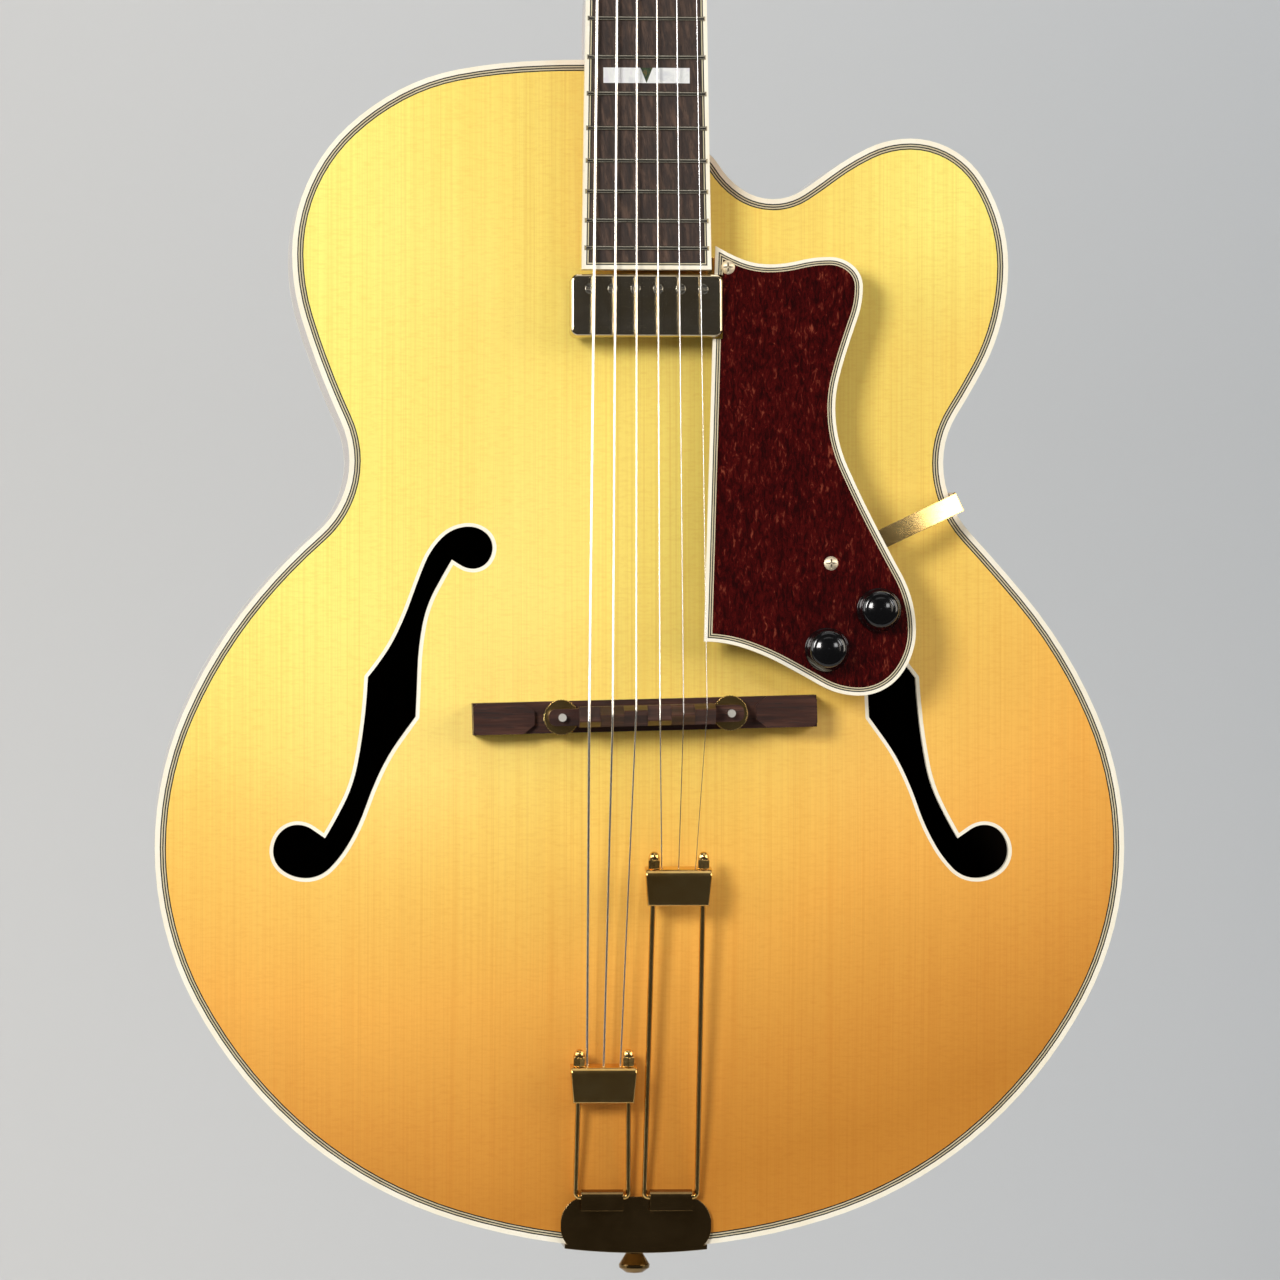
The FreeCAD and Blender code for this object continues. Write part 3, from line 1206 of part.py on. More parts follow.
def bracket_screws():
    """Screws that hold the pickup bracket to the neck and to the pickup, with their holes."""
    screws = []
    base_y = bracket_face() + PICKUP_BRACKET
    back = NECK_FRAME.Rotation.multVec(Y_AXIS)
    for side in (-1, 1):
        x = side * PICKUP_BRACKET_WIDTH / 4
        base = NECK_FRAME.multVec(Vector(x, base_y, -BOARD_LENGTH + PICKUP_BRACKET_LAP / 2))
        length = min(SMALL_SCREW_LENGTH, PICKUP_BRACKET + TONGUE / 2)
        screws.append((screw(SMALL_HEAD_RADIUS, SMALL_HEAD_HEIGHT, SMALL_RADIUS, length, base, back),
                       screw_hole(SMALL_RADIUS, length, base, back)))
    base = NECK_FRAME.multVec(Vector(0, base_y, PICKUP_Z - POLE_OFFSET))
    length = PICKUP_BRACKET + BASE_PLATE / 2
    screws.append((screw(SMALL_HEAD_RADIUS, SMALL_HEAD_HEIGHT, SMALL_RADIUS, length, base, back),
                   screw_hole(SMALL_RADIUS, length, base, back)))
    return screws


def pickup_bracket():
    """Plate under the end of the neck that carries the pickup and the pickguard's upper corner."""
    front = bracket_face()
    half = PICKUP_BRACKET_WIDTH / 2
    high = -BOARD_LENGTH + PICKUP_BRACKET_LAP
    low = PICKUP_Z - PICKUP_LENGTH / 2 + PICKUP_EDGE
    plate = block(-half, half, front, front + PICKUP_BRACKET, low, high)
    corner = NECK_FRAME.inverse().multVec(GUARD_FRAME.multVec(guard_point(UPPER_SCREW_SHARES)))
    reach = corner.x + PICKUP_ARM_WIDTH / 2
    arm = block(0, reach, front, front + PICKUP_BRACKET, corner.z - PICKUP_ARM_WIDTH / 2,
                corner.z + PICKUP_ARM_WIDTH / 2)
    guard_back = corner.y + GUARD_THICK
    spacer = Part.makeCylinder(PICKUP_ARM_WIDTH / 3, front - guard_back, Vector(corner.x, guard_back, corner.z),
                               Y_AXIS)
    whole = placed(plate.fuse([arm, spacer]), NECK_FRAME)
    return whole.cut([hole for _, hole in bracket_screws()] + [guard_screws()[0][1]])


def guard_screws():
    """The pickguard's two face screws with their holes, upper screw first."""
    out = GUARD_FRAME.Rotation.multVec(-Y_AXIS)
    pairs = []
    for shares in (UPPER_SCREW_SHARES, LOWER_SCREW_SHARES):
        base = GUARD_FRAME.multVec(guard_point(shares))
        length = GUARD_THICK + STRAP_THICK
        pairs.append((screw(SCREW_HEAD_RADIUS, SCREW_HEAD_HEIGHT, SCREW_RADIUS, length, base, out),
                      screw_hole(SCREW_RADIUS, length, base, out)))
    return pairs


def guard_outline(inset):
    edge = outline(scaled(GUARD_SHARES, GUARD_LENGTH, GUARD_LENGTH))
    return edge.makeOffset2D(-inset) if inset else edge


def guard_notch():
    """Room for the pickup, in world place."""
    half = PICKUP_WIDTH / 2 + GUARD_NOTCH_GAP
    low = PICKUP_Z - PICKUP_LENGTH / 2 - GUARD_NOTCH_GAP
    high = PICKUP_Z + PICKUP_LENGTH / 2 + GUARD_NOTCH_GAP
    return placed(block(-half, half, -OVERRUN, OVERRUN + GUARD_HEIGHT, low, high), NECK_FRAME)


def pickguard():
    plate = prism(guard_outline(GUARD_BINDING), 0, GUARD_THICK)
    channel = ring(guard_outline(GUARD_BINDING), guard_outline(GUARD_INSET), -OVERRUN, GUARD_PLY_DEPTH)
    bush_holes = [Part.makeCylinder(POT_BUSH_RADIUS + SEAM, GUARD_THICK + 2 * OVERRUN,
                                    guard_point(shares) - Y_AXIS * OVERRUN, Y_AXIS)
                  for shares in (VOLUME_SHARES, TONE_SHARES)]
    solid = placed(plate.cut([channel] + bush_holes), GUARD_FRAME)
    return solid.cut([guard_notch()] + [hole for _, hole in guard_screws()])


def pickguard_binding():
    edge = ring(guard_outline(0), guard_outline(GUARD_BINDING), 0, GUARD_THICK)
    lines = [edge]
    for k in range(GUARD_PLIES):
        outer = guard_outline(GUARD_BINDING + GUARD_PLY * k)
        inner = guard_outline(GUARD_BINDING + GUARD_PLY * (k + 1))
        lines.append(ring(outer, inner, 0, GUARD_PLY_DEPTH))
    return joined([placed(line, GUARD_FRAME).cut(guard_notch()) for line in lines])


def strap_end():
    """Place on the body's edge that the pickguard strap runs to, and the strap's length."""
    start = GUARD_FRAME.multVec(guard_point(LOWER_SCREW_SHARES))
    along = direction(STRAP_HEADING)
    best = None
    for x, z in BODY.points:
        ahead = (x - start.x) * along[0] + (z - start.z) * along[1]
        aside = abs((z - start.z) * along[0] - (x - start.x) * along[1])
        if ahead > 0 and (best is None or aside < best[0]):
            best = (aside, ahead)
    return start, best[1]


def strap_frame():
    """Frame at the lower pickguard screw: X along the strap, Y into the body."""
    start, _ = strap_end()
    return Placement(start, Rotation(Y_AXIS, -STRAP_HEADING))


def strap_screw():
    """Screw that holds the pickguard strap to the side, with its hole."""
    _, length = strap_end()
    frame = strap_frame()
    base = frame.multVec(Vector(length + STRAP_GAP + STRAP_THICK, STRAP_SCREW_DROP, 0))
    out = frame.Rotation.multVec(X_AXIS)
    return (screw(SCREW_HEAD_RADIUS, SCREW_HEAD_HEIGHT, SCREW_RADIUS, STRAP_SCREW_LENGTH, base, out),
            screw_hole(SCREW_RADIUS, STRAP_SCREW_LENGTH, base, out))


def pickguard_bracket():
    """Strap under the pickguard that slopes to the edge and bends down the side of the body."""
    start, length = strap_end()
    half = STRAP_WIDTH / 2
    outer = length + STRAP_GAP + STRAP_THICK
    flat_frame = Placement(start, GUARD_FRAME.Rotation.multiply(Rotation(Y_AXIS, -STRAP_HEADING)))
    flat = placed(block(-half, STRAP_BEND, GUARD_THICK, GUARD_THICK + STRAP_THICK, -half, half), flat_frame)
    bend = Placement(Vector(STRAP_BEND, GUARD_THICK, 0), Rotation(Z_AXIS, STRAP_SLOPE))
    slope = placed(block(0, outer, 0, STRAP_THICK, -half, half), flat_frame.multiply(bend))
    inside = placed(block(0, outer, -OVERRUN, OVERRUN, -OVERRUN, OVERRUN), strap_frame())
    drop = (outer - STRAP_BEND) * math.tan(math.radians(STRAP_SLOPE))
    drop += outer * math.sin(math.radians(STRAP_HEADING)) * math.sin(TILT)
    leg_start = GUARD_THICK + drop + STRAP_THICK / 2
    leg = placed(block(length + STRAP_GAP, outer, leg_start, GUARD_THICK + STRAP_LEG, -half, half),
                 strap_frame())
    whole = flat.fuse([slope.common(inside), leg]).removeSplitter()
    return whole.cut([guard_screws()[1][1], strap_screw()[1]])


def potentiometer(shares):
    """Pot case with its bushing, in the pickguard's frame."""
    place = guard_point(shares)
    profile = [(POT_BUSH_RADIUS, -POT_BUSH_RISE), (POT_BUSH_RADIUS, GUARD_THICK), (POT_RADIUS, GUARD_THICK),
               (POT_RADIUS, GUARD_THICK + POT_HEIGHT), (0, GUARD_THICK + POT_HEIGHT)]
    floor = GUARD_THICK + SPINDLE_DEPTH + SWING_GAP
    bore = SPINDLE_RADIUS + RUNNING_GAP
    return turned(profile + [(0, floor), (bore, floor), (bore, -POT_BUSH_RISE)], place, Y_AXIS)


def pot_housings():
    return placed(joined([potentiometer(VOLUME_SHARES), potentiometer(TONE_SHARES)]), GUARD_FRAME)


def knob(shares):
    """Domed knob on its spindle."""
    base = -KNOB_GAP
    top = base - KNOB_HEIGHT
    shoulder = top + KNOB_CROWN + KNOB_ROUND
    lean = (KNOB_RADIUS - KNOB_TOP_RADIUS) / 2
    points = [Vector(0, 0, base), Vector(KNOB_RADIUS, 0, base), Vector(KNOB_RADIUS, 0, base - KNOB_SKIRT),
              Vector(KNOB_TOP_RADIUS, 0, shoulder), Vector(KNOB_TOP_RADIUS - KNOB_ROUND, 0, top + KNOB_CROWN),
              Vector(0, 0, top)]
    inward = KNOB_ROUND * (1 - math.cos(math.pi / 4))
    round_middle = Vector(KNOB_TOP_RADIUS - inward, 0, top + KNOB_CROWN + inward)
    crown_edge = KNOB_TOP_RADIUS - KNOB_ROUND
    dome = (crown_edge ** 2 + KNOB_CROWN ** 2) / (2 * KNOB_CROWN)
    crown_middle = Vector(crown_edge / 2, 0, top + dome - math.sqrt(dome ** 2 - crown_edge ** 2 / 4))
    waist_middle = Vector(KNOB_TOP_RADIUS + lean / 2, 0, (base - KNOB_SKIRT + shoulder) / 2)
    edges = [Part.LineSegment(points[0], points[1]).toShape(), Part.LineSegment(points[1], points[2]).toShape(),
             Part.Arc(points[2], waist_middle, points[3]).toShape(),
             Part.Arc(points[3], round_middle, points[4]).toShape(),
             Part.Arc(points[4], crown_middle, points[5]).toShape(),
             Part.LineSegment(points[5], points[0]).toShape()]
    solid = Part.Face(Part.Wire(edges)).revolve(ORIGIN, Z_AXIS, 360)
    bore = Part.makeCylinder(SPINDLE_RADIUS + SEAM / 2, KNOB_BORE, Vector(0, 0, base - KNOB_BORE), Z_AXIS)
    spindle = Part.makeCylinder(SPINDLE_RADIUS, KNOB_BORE + KNOB_GAP + GUARD_THICK + SPINDLE_DEPTH - SEAM,
                                Vector(0, 0, base - KNOB_BORE + SEAM), Z_AXIS)
    upright = Placement(guard_point(shares), Rotation(Z_AXIS, Y_AXIS))
    return placed(placed(joined([solid.cut(bore), spindle]), upright), GUARD_FRAME)


def stud_places():
    return [Vector(side * POST_SPACING / 2, 0, 0) for side in (-1, 1)]


def stud(radius, low, high, place):
    """Cylinder about a bridge post between two heights above the top of the arch."""
    return Part.makeCylinder(radius, high - low, place + Vector(0, APEX - high, 0), Y_AXIS)


def bridge_base():
    half, half_width = BASE_LENGTH / 2, BASE_WIDTH / 2
    deck = block(-half, half, APEX - DECK_HEIGHT, FRONT, -half_width, half_width)
    clip = half_width * PAD_CLIP_SHARE
    pads = []
    for side in (-1, 1):
        tip = side * (half - PAD_LENGTH)
        neck_in = side * (half - PAD_LENGTH + PAD_POINT)
        pads.append(polygon_prism([(side * half, half_width - clip / 2), (side * (half - clip / 2), half_width),
                                   (neck_in, half_width), (tip, half_width - clip), (tip, clip - half_width),
                                   (neck_in, -half_width), (side * (half - clip / 2), -half_width),
                                   (side * half, clip / 2 - half_width)], APEX - PAD_HEIGHT, FRONT))
    holes = [stud(STUD_RADIUS + SCREW_GAP, DECK_HEIGHT - STUD_SINK, DECK_HEIGHT + OVERRUN, place)
             for place in stud_places()]
    blank = deck.fuse(pads).cut(holes)
    return placed(blank, BRIDGE_FRAME).common(BODY.above_top)


def bridge_posts():
    studs = [stud(STUD_RADIUS, DECK_HEIGHT - STUD_SINK, STUD_TOP, place) for place in stud_places()]
    return placed(joined(studs), BRIDGE_FRAME)


def thumbwheel(index):
    place = stud_places()[index]
    corners = []
    for k in range(2 * WHEEL_TEETH):
        radius = WHEEL_RADIUS - KNURL_DEPTH * (k % 2)
        angle = math.pi * k / WHEEL_TEETH
        corners.append((place.x + radius * math.cos(angle), radius * math.sin(angle)))
    disc = polygon_prism(corners, APEX - WHEEL_BASE - WHEEL_THICK, APEX - WHEEL_BASE)
    bore = stud(STUD_RADIUS + RUNNING_GAP, 0, STRING_HEIGHT, place)
    return placed(disc.cut(bore), BRIDGE_FRAME)


def saddle_string_x(index):
    return SADDLE_SPREAD * (index / (len(GAUGES) - 1) - 0.5)


def crest_place(index):
    """Middle of a string's crest on the saddle, in the bridge's frame, at the string's axis."""
    return Vector(saddle_string_x(index), FRONT - STRING_HEIGHT, SADDLE_WIDTH * CREST_STEP_SHARES[index])


def bridge_saddle():
    half_width = SADDLE_WIDTH / 2
    ear_end = SADDLE_LENGTH / 2
    bottom = APEX - SADDLE_BASE
    ears = prism(rounded_box_outline(ear_end, -EAR_WIDTH / 2, EAR_WIDTH / 2, EAR_CORNER),
                 bottom - EAR_HEIGHT, bottom)
    middle = block(-CREST_LENGTH / 2, CREST_LENGTH / 2, bottom - CREST_BASE_HEIGHT, bottom,
                   -half_width, half_width)
    crests = []
    pitch = SADDLE_SPREAD / (len(GAUGES) - 1)
    for index, gauge in enumerate(GAUGES):
        peak = crest_place(index)
        top = peak.y + gauge / 2 + STRING_GAP
        left = max(peak.x - pitch / 2, -CREST_LENGTH / 2)
        right = min(peak.x + pitch / 2, CREST_LENGTH / 2)
        left = -CREST_LENGTH / 2 if index == 0 else left
        right = CREST_LENGTH / 2 if index == len(GAUGES) - 1 else right
        base = bottom - CREST_BASE_HEIGHT
        corners = [Vector(left, base, -half_width), Vector(left, top, peak.z - CREST_WIDTH / 2),
                   Vector(left, top, peak.z + CREST_WIDTH / 2), Vector(left, base, half_width)]
        face = Part.Face(Part.makePolygon(corners + corners[:1]))
        crests.append(face.extrude(Vector(right - left, 0, 0)))
    holes = [stud(STUD_RADIUS + RUNNING_GAP, 0, STRING_HEIGHT, place) for place in stud_places()]
    return placed(ears.fuse([middle] + crests).removeSplitter().cut(holes), BRIDGE_FRAME)


def button_hole():
    return Part.makeCylinder(BUTTON_SHANK_RADIUS + SCREW_GAP, BUTTON_SHANK + SWING_GAP + OVERRUN,
                             Vector(0, 0, -OVERRUN), Z_AXIS)


def flange_screws():
    """Screws that hold the tail plate's flange to the tail, with their holes."""
    pairs = []
    for depth in FLANGE_SCREW_DEPTHS:
        for side in (-1, 1):
            x = TAIL_X + side * FLANGE_SCREW_X
            low = min(edge_z for edge_x, edge_z in BODY.points if abs(edge_x - x) < 2 * SCREW_HEAD_RADIUS)
            base = Vector(x, FRONT + depth, low - TAIL_PLATE - SEAM)
            pairs.append((screw(SCREW_HEAD_RADIUS, SCREW_HEAD_HEIGHT, SCREW_RADIUS, FLANGE_SCREW_LENGTH,
                                base, -Z_AXIS),
                          screw_hole(SCREW_RADIUS, FLANGE_SCREW_LENGTH, base, -Z_AXIS)))
    return pairs


def tailpiece_plate():
    """Plate on the top's tail border with two hooked tabs, bent over the edge and down the tail."""
    outer_edge = BODY.edge.makeOffset2D(TAIL_PLATE + SEAM)
    low_x, high_x = TAIL_X - FLANGE_WIDTH / 2, TAIL_X + FLANGE_WIDTH / 2
    flange = ring(outer_edge, BODY.edge.makeOffset2D(SEAM), FRONT - TAIL_PLATE, FRONT + FLANGE_DEPTH)
    kept = block(low_x, high_x, FRONT - OVERRUN, FRONT + FLANGE_DEPTH, -OVERRUN, TAIL_HEIGHT / 2)
    flange = flange.common(kept)
    face = prism(rounded_box_outline(TAIL_WIDTH / 2, -TAIL_PLATE - SEAM, TAIL_HEIGHT, TAIL_CORNER),
                 FRONT - TAIL_PLATE, FRONT + SWING_GAP)
    face.translate(Vector(TAIL_X, 0, 0))
    face = face.common(prism(outer_edge, FRONT - OVERRUN, FRONT + OVERRUN))
    inner = FORK_ROD_RADIUS + TAB_GAP
    outer = inner + TAIL_PLATE
    tabs = []
    for side in (-1, 1):
        start = fork_frame(side).Base - X_AXIS * (TAB_WIDTH / 2)
        upper = block(start.x, start.x + TAB_WIDTH, HINGE_Y - OVERRUN, HINGE_Y + OVERRUN,
                      TAIL_HEIGHT, TAIL_HEIGHT + OVERRUN)
        curl = Part.makeCylinder(outer, TAB_WIDTH, start, X_AXIS).cut(
            Part.makeCylinder(inner, TAB_WIDTH, start, X_AXIS)).common(upper)
        lip = block(start.x, start.x + TAB_WIDTH, HINGE_Y - outer, HINGE_Y - inner,
                    TAIL_HEIGHT - TAB_LEG, TAIL_HEIGHT)
        tabs += [curl, lip]
    holes = [button_hole()] + [hole for _, hole in flange_screws()]
    return face.fuse(tabs).common(BODY.above_top).fuse(flange).removeSplitter().cut(holes)


def fork_frame(side):
    """Frame of a fork: origin on its hinge, Z along its rods."""
    return Placement(Vector(TAIL_X + side * FORK_X, HINGE_Y, TAIL_HEIGHT), Rotation(X_AXIS, FORK_ANGLE))


def fork_length(side):
    return BASS_FORK_LENGTH if side < 0 else TREBLE_FORK_LENGTH


def anchor_place(side, rank):
    """Place of a string on its crossbar's upper end, in the fork's frame."""
    lean = math.radians(BASS_FORK_LEAN if side < 0 else TREBLE_FORK_LEAN)
    x = fork_length(side) * math.tan(lean) + CROSSBAR_PITCH * (rank - (BASS_STRINGS - 1) / 2)
    return Vector(x, 0, fork_length(side))


def crossbar(side):
    """Hollow bar with a large round along its upper front edge, before its holes, in the fork's frame."""
    middle = anchor_place(side, (BASS_STRINGS - 1) / 2)
    front, back = -CROSSBAR_DEPTH / 2, CROSSBAR_DEPTH / 2
    high = middle.z
    low = high - CROSSBAR_HEIGHT
    half_high = CROSSBAR_WIDTH / 2
    half_low = half_high - CROSSBAR_TAPER
    bar = polygon_prism([(middle.x - half_low, low), (middle.x + half_low, low),
                         (middle.x + half_high, high), (middle.x - half_high, high)], front, back)
    rim = [edge for edge in bar.Edges if edge.BoundBox.YMax < front + SEAM]
    bar = bar.makeFillet(CROSSBAR_ROUND, [edge for edge in rim if edge.BoundBox.ZMin > high - SEAM])
    rim = [edge for edge in bar.Edges if edge.BoundBox.YMax < front + SEAM and edge.BoundBox.ZMin < low + SEAM]
    bar = bar.makeFillet(CROSSBAR_EDGE, rim)
    inside = half_low - CROSSBAR_WALL
    return bar.cut(block(middle.x - inside, middle.x + inside, front + CROSSBAR_WALL, back + OVERRUN,
                         low + CROSSBAR_WALL, high - CROSSBAR_WALL))


def acorn_nut():
    """Domed nut that stands on the origin along Z."""
    nose = ACORN_HEIGHT * ACORN_NOSE_SHARE
    angles = [math.pi / 3 * (k + 0.5) for k in range(6)]
    corners = [(ACORN_RADIUS * math.cos(angle), ACORN_RADIUS * math.sin(angle)) for angle in angles]
    hexagon = placed(polygon_prism(corners, -nose, 0), Placement(ORIGIN, Rotation(X_AXIS, -90)))
    dome_radius = ACORN_RADIUS * math.cos(math.pi / 6)
    curve = [(dome_radius * share_r, nose + (ACORN_HEIGHT - nose) * share_z)
             for share_r, share_z in ACORN_DOME_SHARES]
    dome = turned([(0, nose)] + curve + [(0, ACORN_HEIGHT)])
    return hexagon.fuse(dome).cut(Part.makeCylinder(FORK_ROD_RADIUS + SEAM, nose, ORIGIN, Z_AXIS))


def fork(side):
    """Bent rod, hollow crossbar and two acorn nuts of one fork."""
    middle = anchor_place(side, (BASS_STRINGS - 1) / 2)
    rod_points = []
    holes = []
    nuts = []
    for hand in (-1, 1):
        foot = X_AXIS * (hand * FORK_HINGE_SPACING / 2)
        tip = middle + X_AXIS * (hand * FORK_ROD_SPACING / 2)
        along = (tip - foot).normalize()
        end = tip + along * (ACORN_HEIGHT * ACORN_NOSE_SHARE)
        rod_points += [end, foot] if hand < 0 else [foot, end]
        hole_start = tip - along * (CROSSBAR_HEIGHT + OVERRUN)
        hole_length = CROSSBAR_HEIGHT + 2 * OVERRUN
        holes.append(Part.makeCylinder(FORK_ROD_RADIUS + SEAM, hole_length, hole_start, along))
        nuts.append(placed(acorn_nut(), Placement(tip + along * SEAM, Rotation(Z_AXIS, along))))
    rod = bent_rod(rod_points, (FORK_BEND, FORK_BEND), FORK_ROD_RADIUS)
    gauges = GAUGES[:BASS_STRINGS] if side < 0 else GAUGES[BASS_STRINGS:]
    for rank, gauge in enumerate(gauges):
        start = anchor_place(side, rank) - Z_AXIS * (2 * CROSSBAR_WALL)
        holes.append(Part.makeCylinder(gauge / 2 + SWING_GAP, OVERRUN, start, Z_AXIS))
    return placed(joined([rod, crossbar(side).cut(holes)] + nuts), fork_frame(side))


def string_route(index):
    """Points of a string: its anchor, the saddle, the nut and the string post."""
    side = -1 if index < BASS_STRINGS else 1
    anchor = fork_frame(side).multVec(anchor_place(side, index % BASS_STRINGS) - Z_AXIS * CROSSBAR_WALL)
    crest = BRIDGE_FRAME.multVec(crest_place(index))
    half = GAUGES[index] / 2
    at_nut = NECK_FRAME.multVec(Vector(nut_string_x(index), -NUT_ACTION - half, NUT_LENGTH))
    x, z = tuner_place(index)
    inner = x - math.copysign(POST_RADIUS + half + SWING_GAP, x)
    at_post = HEAD_FRAME.multVec(Vector(inner, -WRAP_RISE, z))
    return [anchor, crest, at_nut, at_post]


def guitar_string(index):
    """One string with its ball end, from its crossbar to its post."""
    route = string_route(index)
    half = GAUGES[index] / 2
    wire = bent_rod(route, (SADDLE_BEND, NUT_BEND), half)
    back = (route[0] - route[1]).normalize()
    ball = Part.makeCylinder(BALL_RADIUS, BALL_LENGTH, route[0] + back * SWING_GAP, back)
    stem = Part.makeCylinder(half, SWING_GAP, route[0], back)
    return wire.fuse([stem, ball])


def wound_strings():
    return joined([guitar_string(index) for index in range(len(WOUND_GAUGES))])


def plain_strings():
    return joined([guitar_string(index) for index in range(len(WOUND_GAUGES), len(GAUGES))])


def strap_button():
    """Flared button on a threaded shank, turned about the tail's axis."""
    profile = [(0, -BUTTON_SHANK), (BUTTON_SHANK_RADIUS, -BUTTON_SHANK), (BUTTON_SHANK_RADIUS, 0)]
    profile += [(STRAP_BUTTON_RADIUS * share_r, STRAP_BUTTON_LENGTH * share_z)
                for share_r, share_z in STRAP_BUTTON_SHARES]
    profile.append((0, STRAP_BUTTON_LENGTH))
    return turned(profile, Vector(0, 0, -TAIL_PLATE - SEAM), -Z_AXIS)


def output_jack():
    """Jack barrel inside the side, with its sleeve and round nut outside."""
    inner = -RIB - SWING_GAP
    profile = [(JACK_BORE, JACK_NUT_THICK + JACK_LIP), (JACK_SLEEVE_RADIUS, JACK_NUT_THICK + JACK_LIP),
               (JACK_SLEEVE_RADIUS, JACK_NUT_THICK), (JACK_NUT_RADIUS, JACK_NUT_THICK),
               (JACK_NUT_RADIUS, SEAM), (JACK_SLEEVE_RADIUS, SEAM), (JACK_SLEEVE_RADIUS, inner),
               (JACK_BODY_RADIUS, inner), (JACK_BODY_RADIUS, inner - JACK_BODY_LENGTH),
               (0, inner - JACK_BODY_LENGTH), (0, inner - JACK_BODY_LENGTH + JACK_END),
               (JACK_BORE, inner - JACK_BODY_LENGTH + JACK_END)]
    return turned(profile, Vector(JACK_X, 0, JACK_Z), X_AXIS)


def screws():
    """All wood screws and face screws, as separate solids."""
    head = [pair[0] for pair in cover_screws()] + [tuner_screw(index)[0] for index in range(len(GAUGES))]
    body = [pair[0] for pair in bracket_screws() + guard_screws() + flange_screws()] + [strap_screw()[0]]
    return joined([placed(joined(head), HEAD_FRAME)] + body)


PIECES = [
    top_plate, back_plate, sides, top_binding, top_purfling, back_binding, f_hole_binding, linings,
    neck_block, tail_block, tone_bars, neck, heel_cap, fretboard, fretboard_binding, frets, inlay_blocks,
    inlay_wedges, nut, headstock_overlay, headstock_binding, truss_rod, truss_rod_cover, screws,
    tuner_housings, tuner_bushings, pickup_cover, pickup_coils, pickup_pole_screws, pickup_bracket,
    pickguard, pickguard_binding, pickguard_bracket, pot_housings, bridge_base, bridge_posts, bridge_saddle,
    tailpiece_plate, wound_strings, plain_strings, strap_button, output_jack,
]


def main():
    os.makedirs("parts", exist_ok=True)
    shapes = {piece.__name__: piece() for piece in PIECES}
    shapes["volume_knob"] = knob(VOLUME_SHARES)
    shapes["tone_knob"] = knob(TONE_SHARES)
    shapes["bass_thumbwheel"] = thumbwheel(0)
    shapes["treble_thumbwheel"] = thumbwheel(1)
    shapes["bass_fork"] = fork(-1)
    shapes["treble_fork"] = fork(1)
    post = tuner_post()
    for index in range(len(GAUGES)):
        shapes[f"tuner_key_{index + 1}"] = tuner_key(index)
        shapes[f"tuner_post_{index + 1}"] = tuner_fit(post, index)
    for name, shape in shapes.items():
        shape.exportStep(f"parts/{name}.step")


if __name__ == "__main__":
    main()
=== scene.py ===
"""Looks of the archtop guitar: materials, strings cut into runs with turns that follow the posts, light and
camera.
"""
import json
import math

import bmesh
import bpy
from mathutils import Matrix, Vector


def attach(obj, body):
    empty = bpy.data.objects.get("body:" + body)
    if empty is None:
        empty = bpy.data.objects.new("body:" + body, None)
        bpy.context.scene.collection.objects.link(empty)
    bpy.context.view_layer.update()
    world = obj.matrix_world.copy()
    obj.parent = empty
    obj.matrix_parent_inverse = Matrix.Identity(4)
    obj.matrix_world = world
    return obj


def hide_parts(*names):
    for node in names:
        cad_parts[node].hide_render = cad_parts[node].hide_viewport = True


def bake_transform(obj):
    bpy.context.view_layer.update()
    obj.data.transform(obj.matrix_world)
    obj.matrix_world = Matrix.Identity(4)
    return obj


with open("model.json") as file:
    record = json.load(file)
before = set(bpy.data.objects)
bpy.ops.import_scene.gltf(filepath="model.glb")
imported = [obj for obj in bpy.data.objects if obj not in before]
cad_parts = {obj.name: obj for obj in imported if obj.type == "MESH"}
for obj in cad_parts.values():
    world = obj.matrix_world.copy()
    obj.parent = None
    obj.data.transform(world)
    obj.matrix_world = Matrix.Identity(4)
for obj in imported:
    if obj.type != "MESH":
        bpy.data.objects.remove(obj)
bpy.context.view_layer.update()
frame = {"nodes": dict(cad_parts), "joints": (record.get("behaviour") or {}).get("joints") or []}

# Sizes in metres, angles in degrees
SHARP_EDGE = 32.0              # edges that turn more than this stay sharp
FACING = 0.9                   # share of a face's normal that points to the front
INNER_FACING = 0.5             # the same for the inner faces of the plates
WELD_REACH = 0.000002          # corners that lie closer than this are one
MARKS_PER_METRE = 1e6          # corners with the same rounded place belong to one solid
SLOT_SHADE_REACH = 0.0012            # how far the painted shade in a screw's slot reaches
WORN_EDGE = 0.0005             # edges of plated metal look rounded by this
STRING_LOOP = 0.012            # spacing of the loops cut across a string
CREST_Z = 0.2374               # where the strings cross the saddle
REST_SHARE = 0.5               # where a string's tail run ends, as a share of the way from its low end to the saddle
POST_RADIUS = 0.0030
WRAP_REACH = 0.0275            # from the gear to the first turn of string, along the post
WRAP_TURNS = 4
WRAP_STEPS = 20                # rings in one turn
WRAP_SPACING = 1.02            # distance between turns, in gauges of the string
WIRE_SIDES = 10
STRING_GAUGES = (0.00127, 0.00107, 0.00081, 0.00061, 0.00041, 0.00031)
BASS_STRINGS = 3               # strings on the short fork
WOUND_STRINGS = 4
WINDING_PITCH = 0.0005
NECK_STRIP_INNER = 0.0012      # half width of the middle strip in the neck
NECK_STRIPS = (0.0085, 0.0100)

# Camera: place, turn to the right, upward tilt, roll, and the lens and sensor in millimetres
CAMERA_PLACE = (-0.2336, -3.5548, 0.3003)
CAMERA_TURN = 3.792
CAMERA_TILT = -0.488
CAMERA_ROLL = -0.12
CAMERA_LENS = 222.8
SENSOR_WIDTH = 36.0
CLIP_END = 50.0

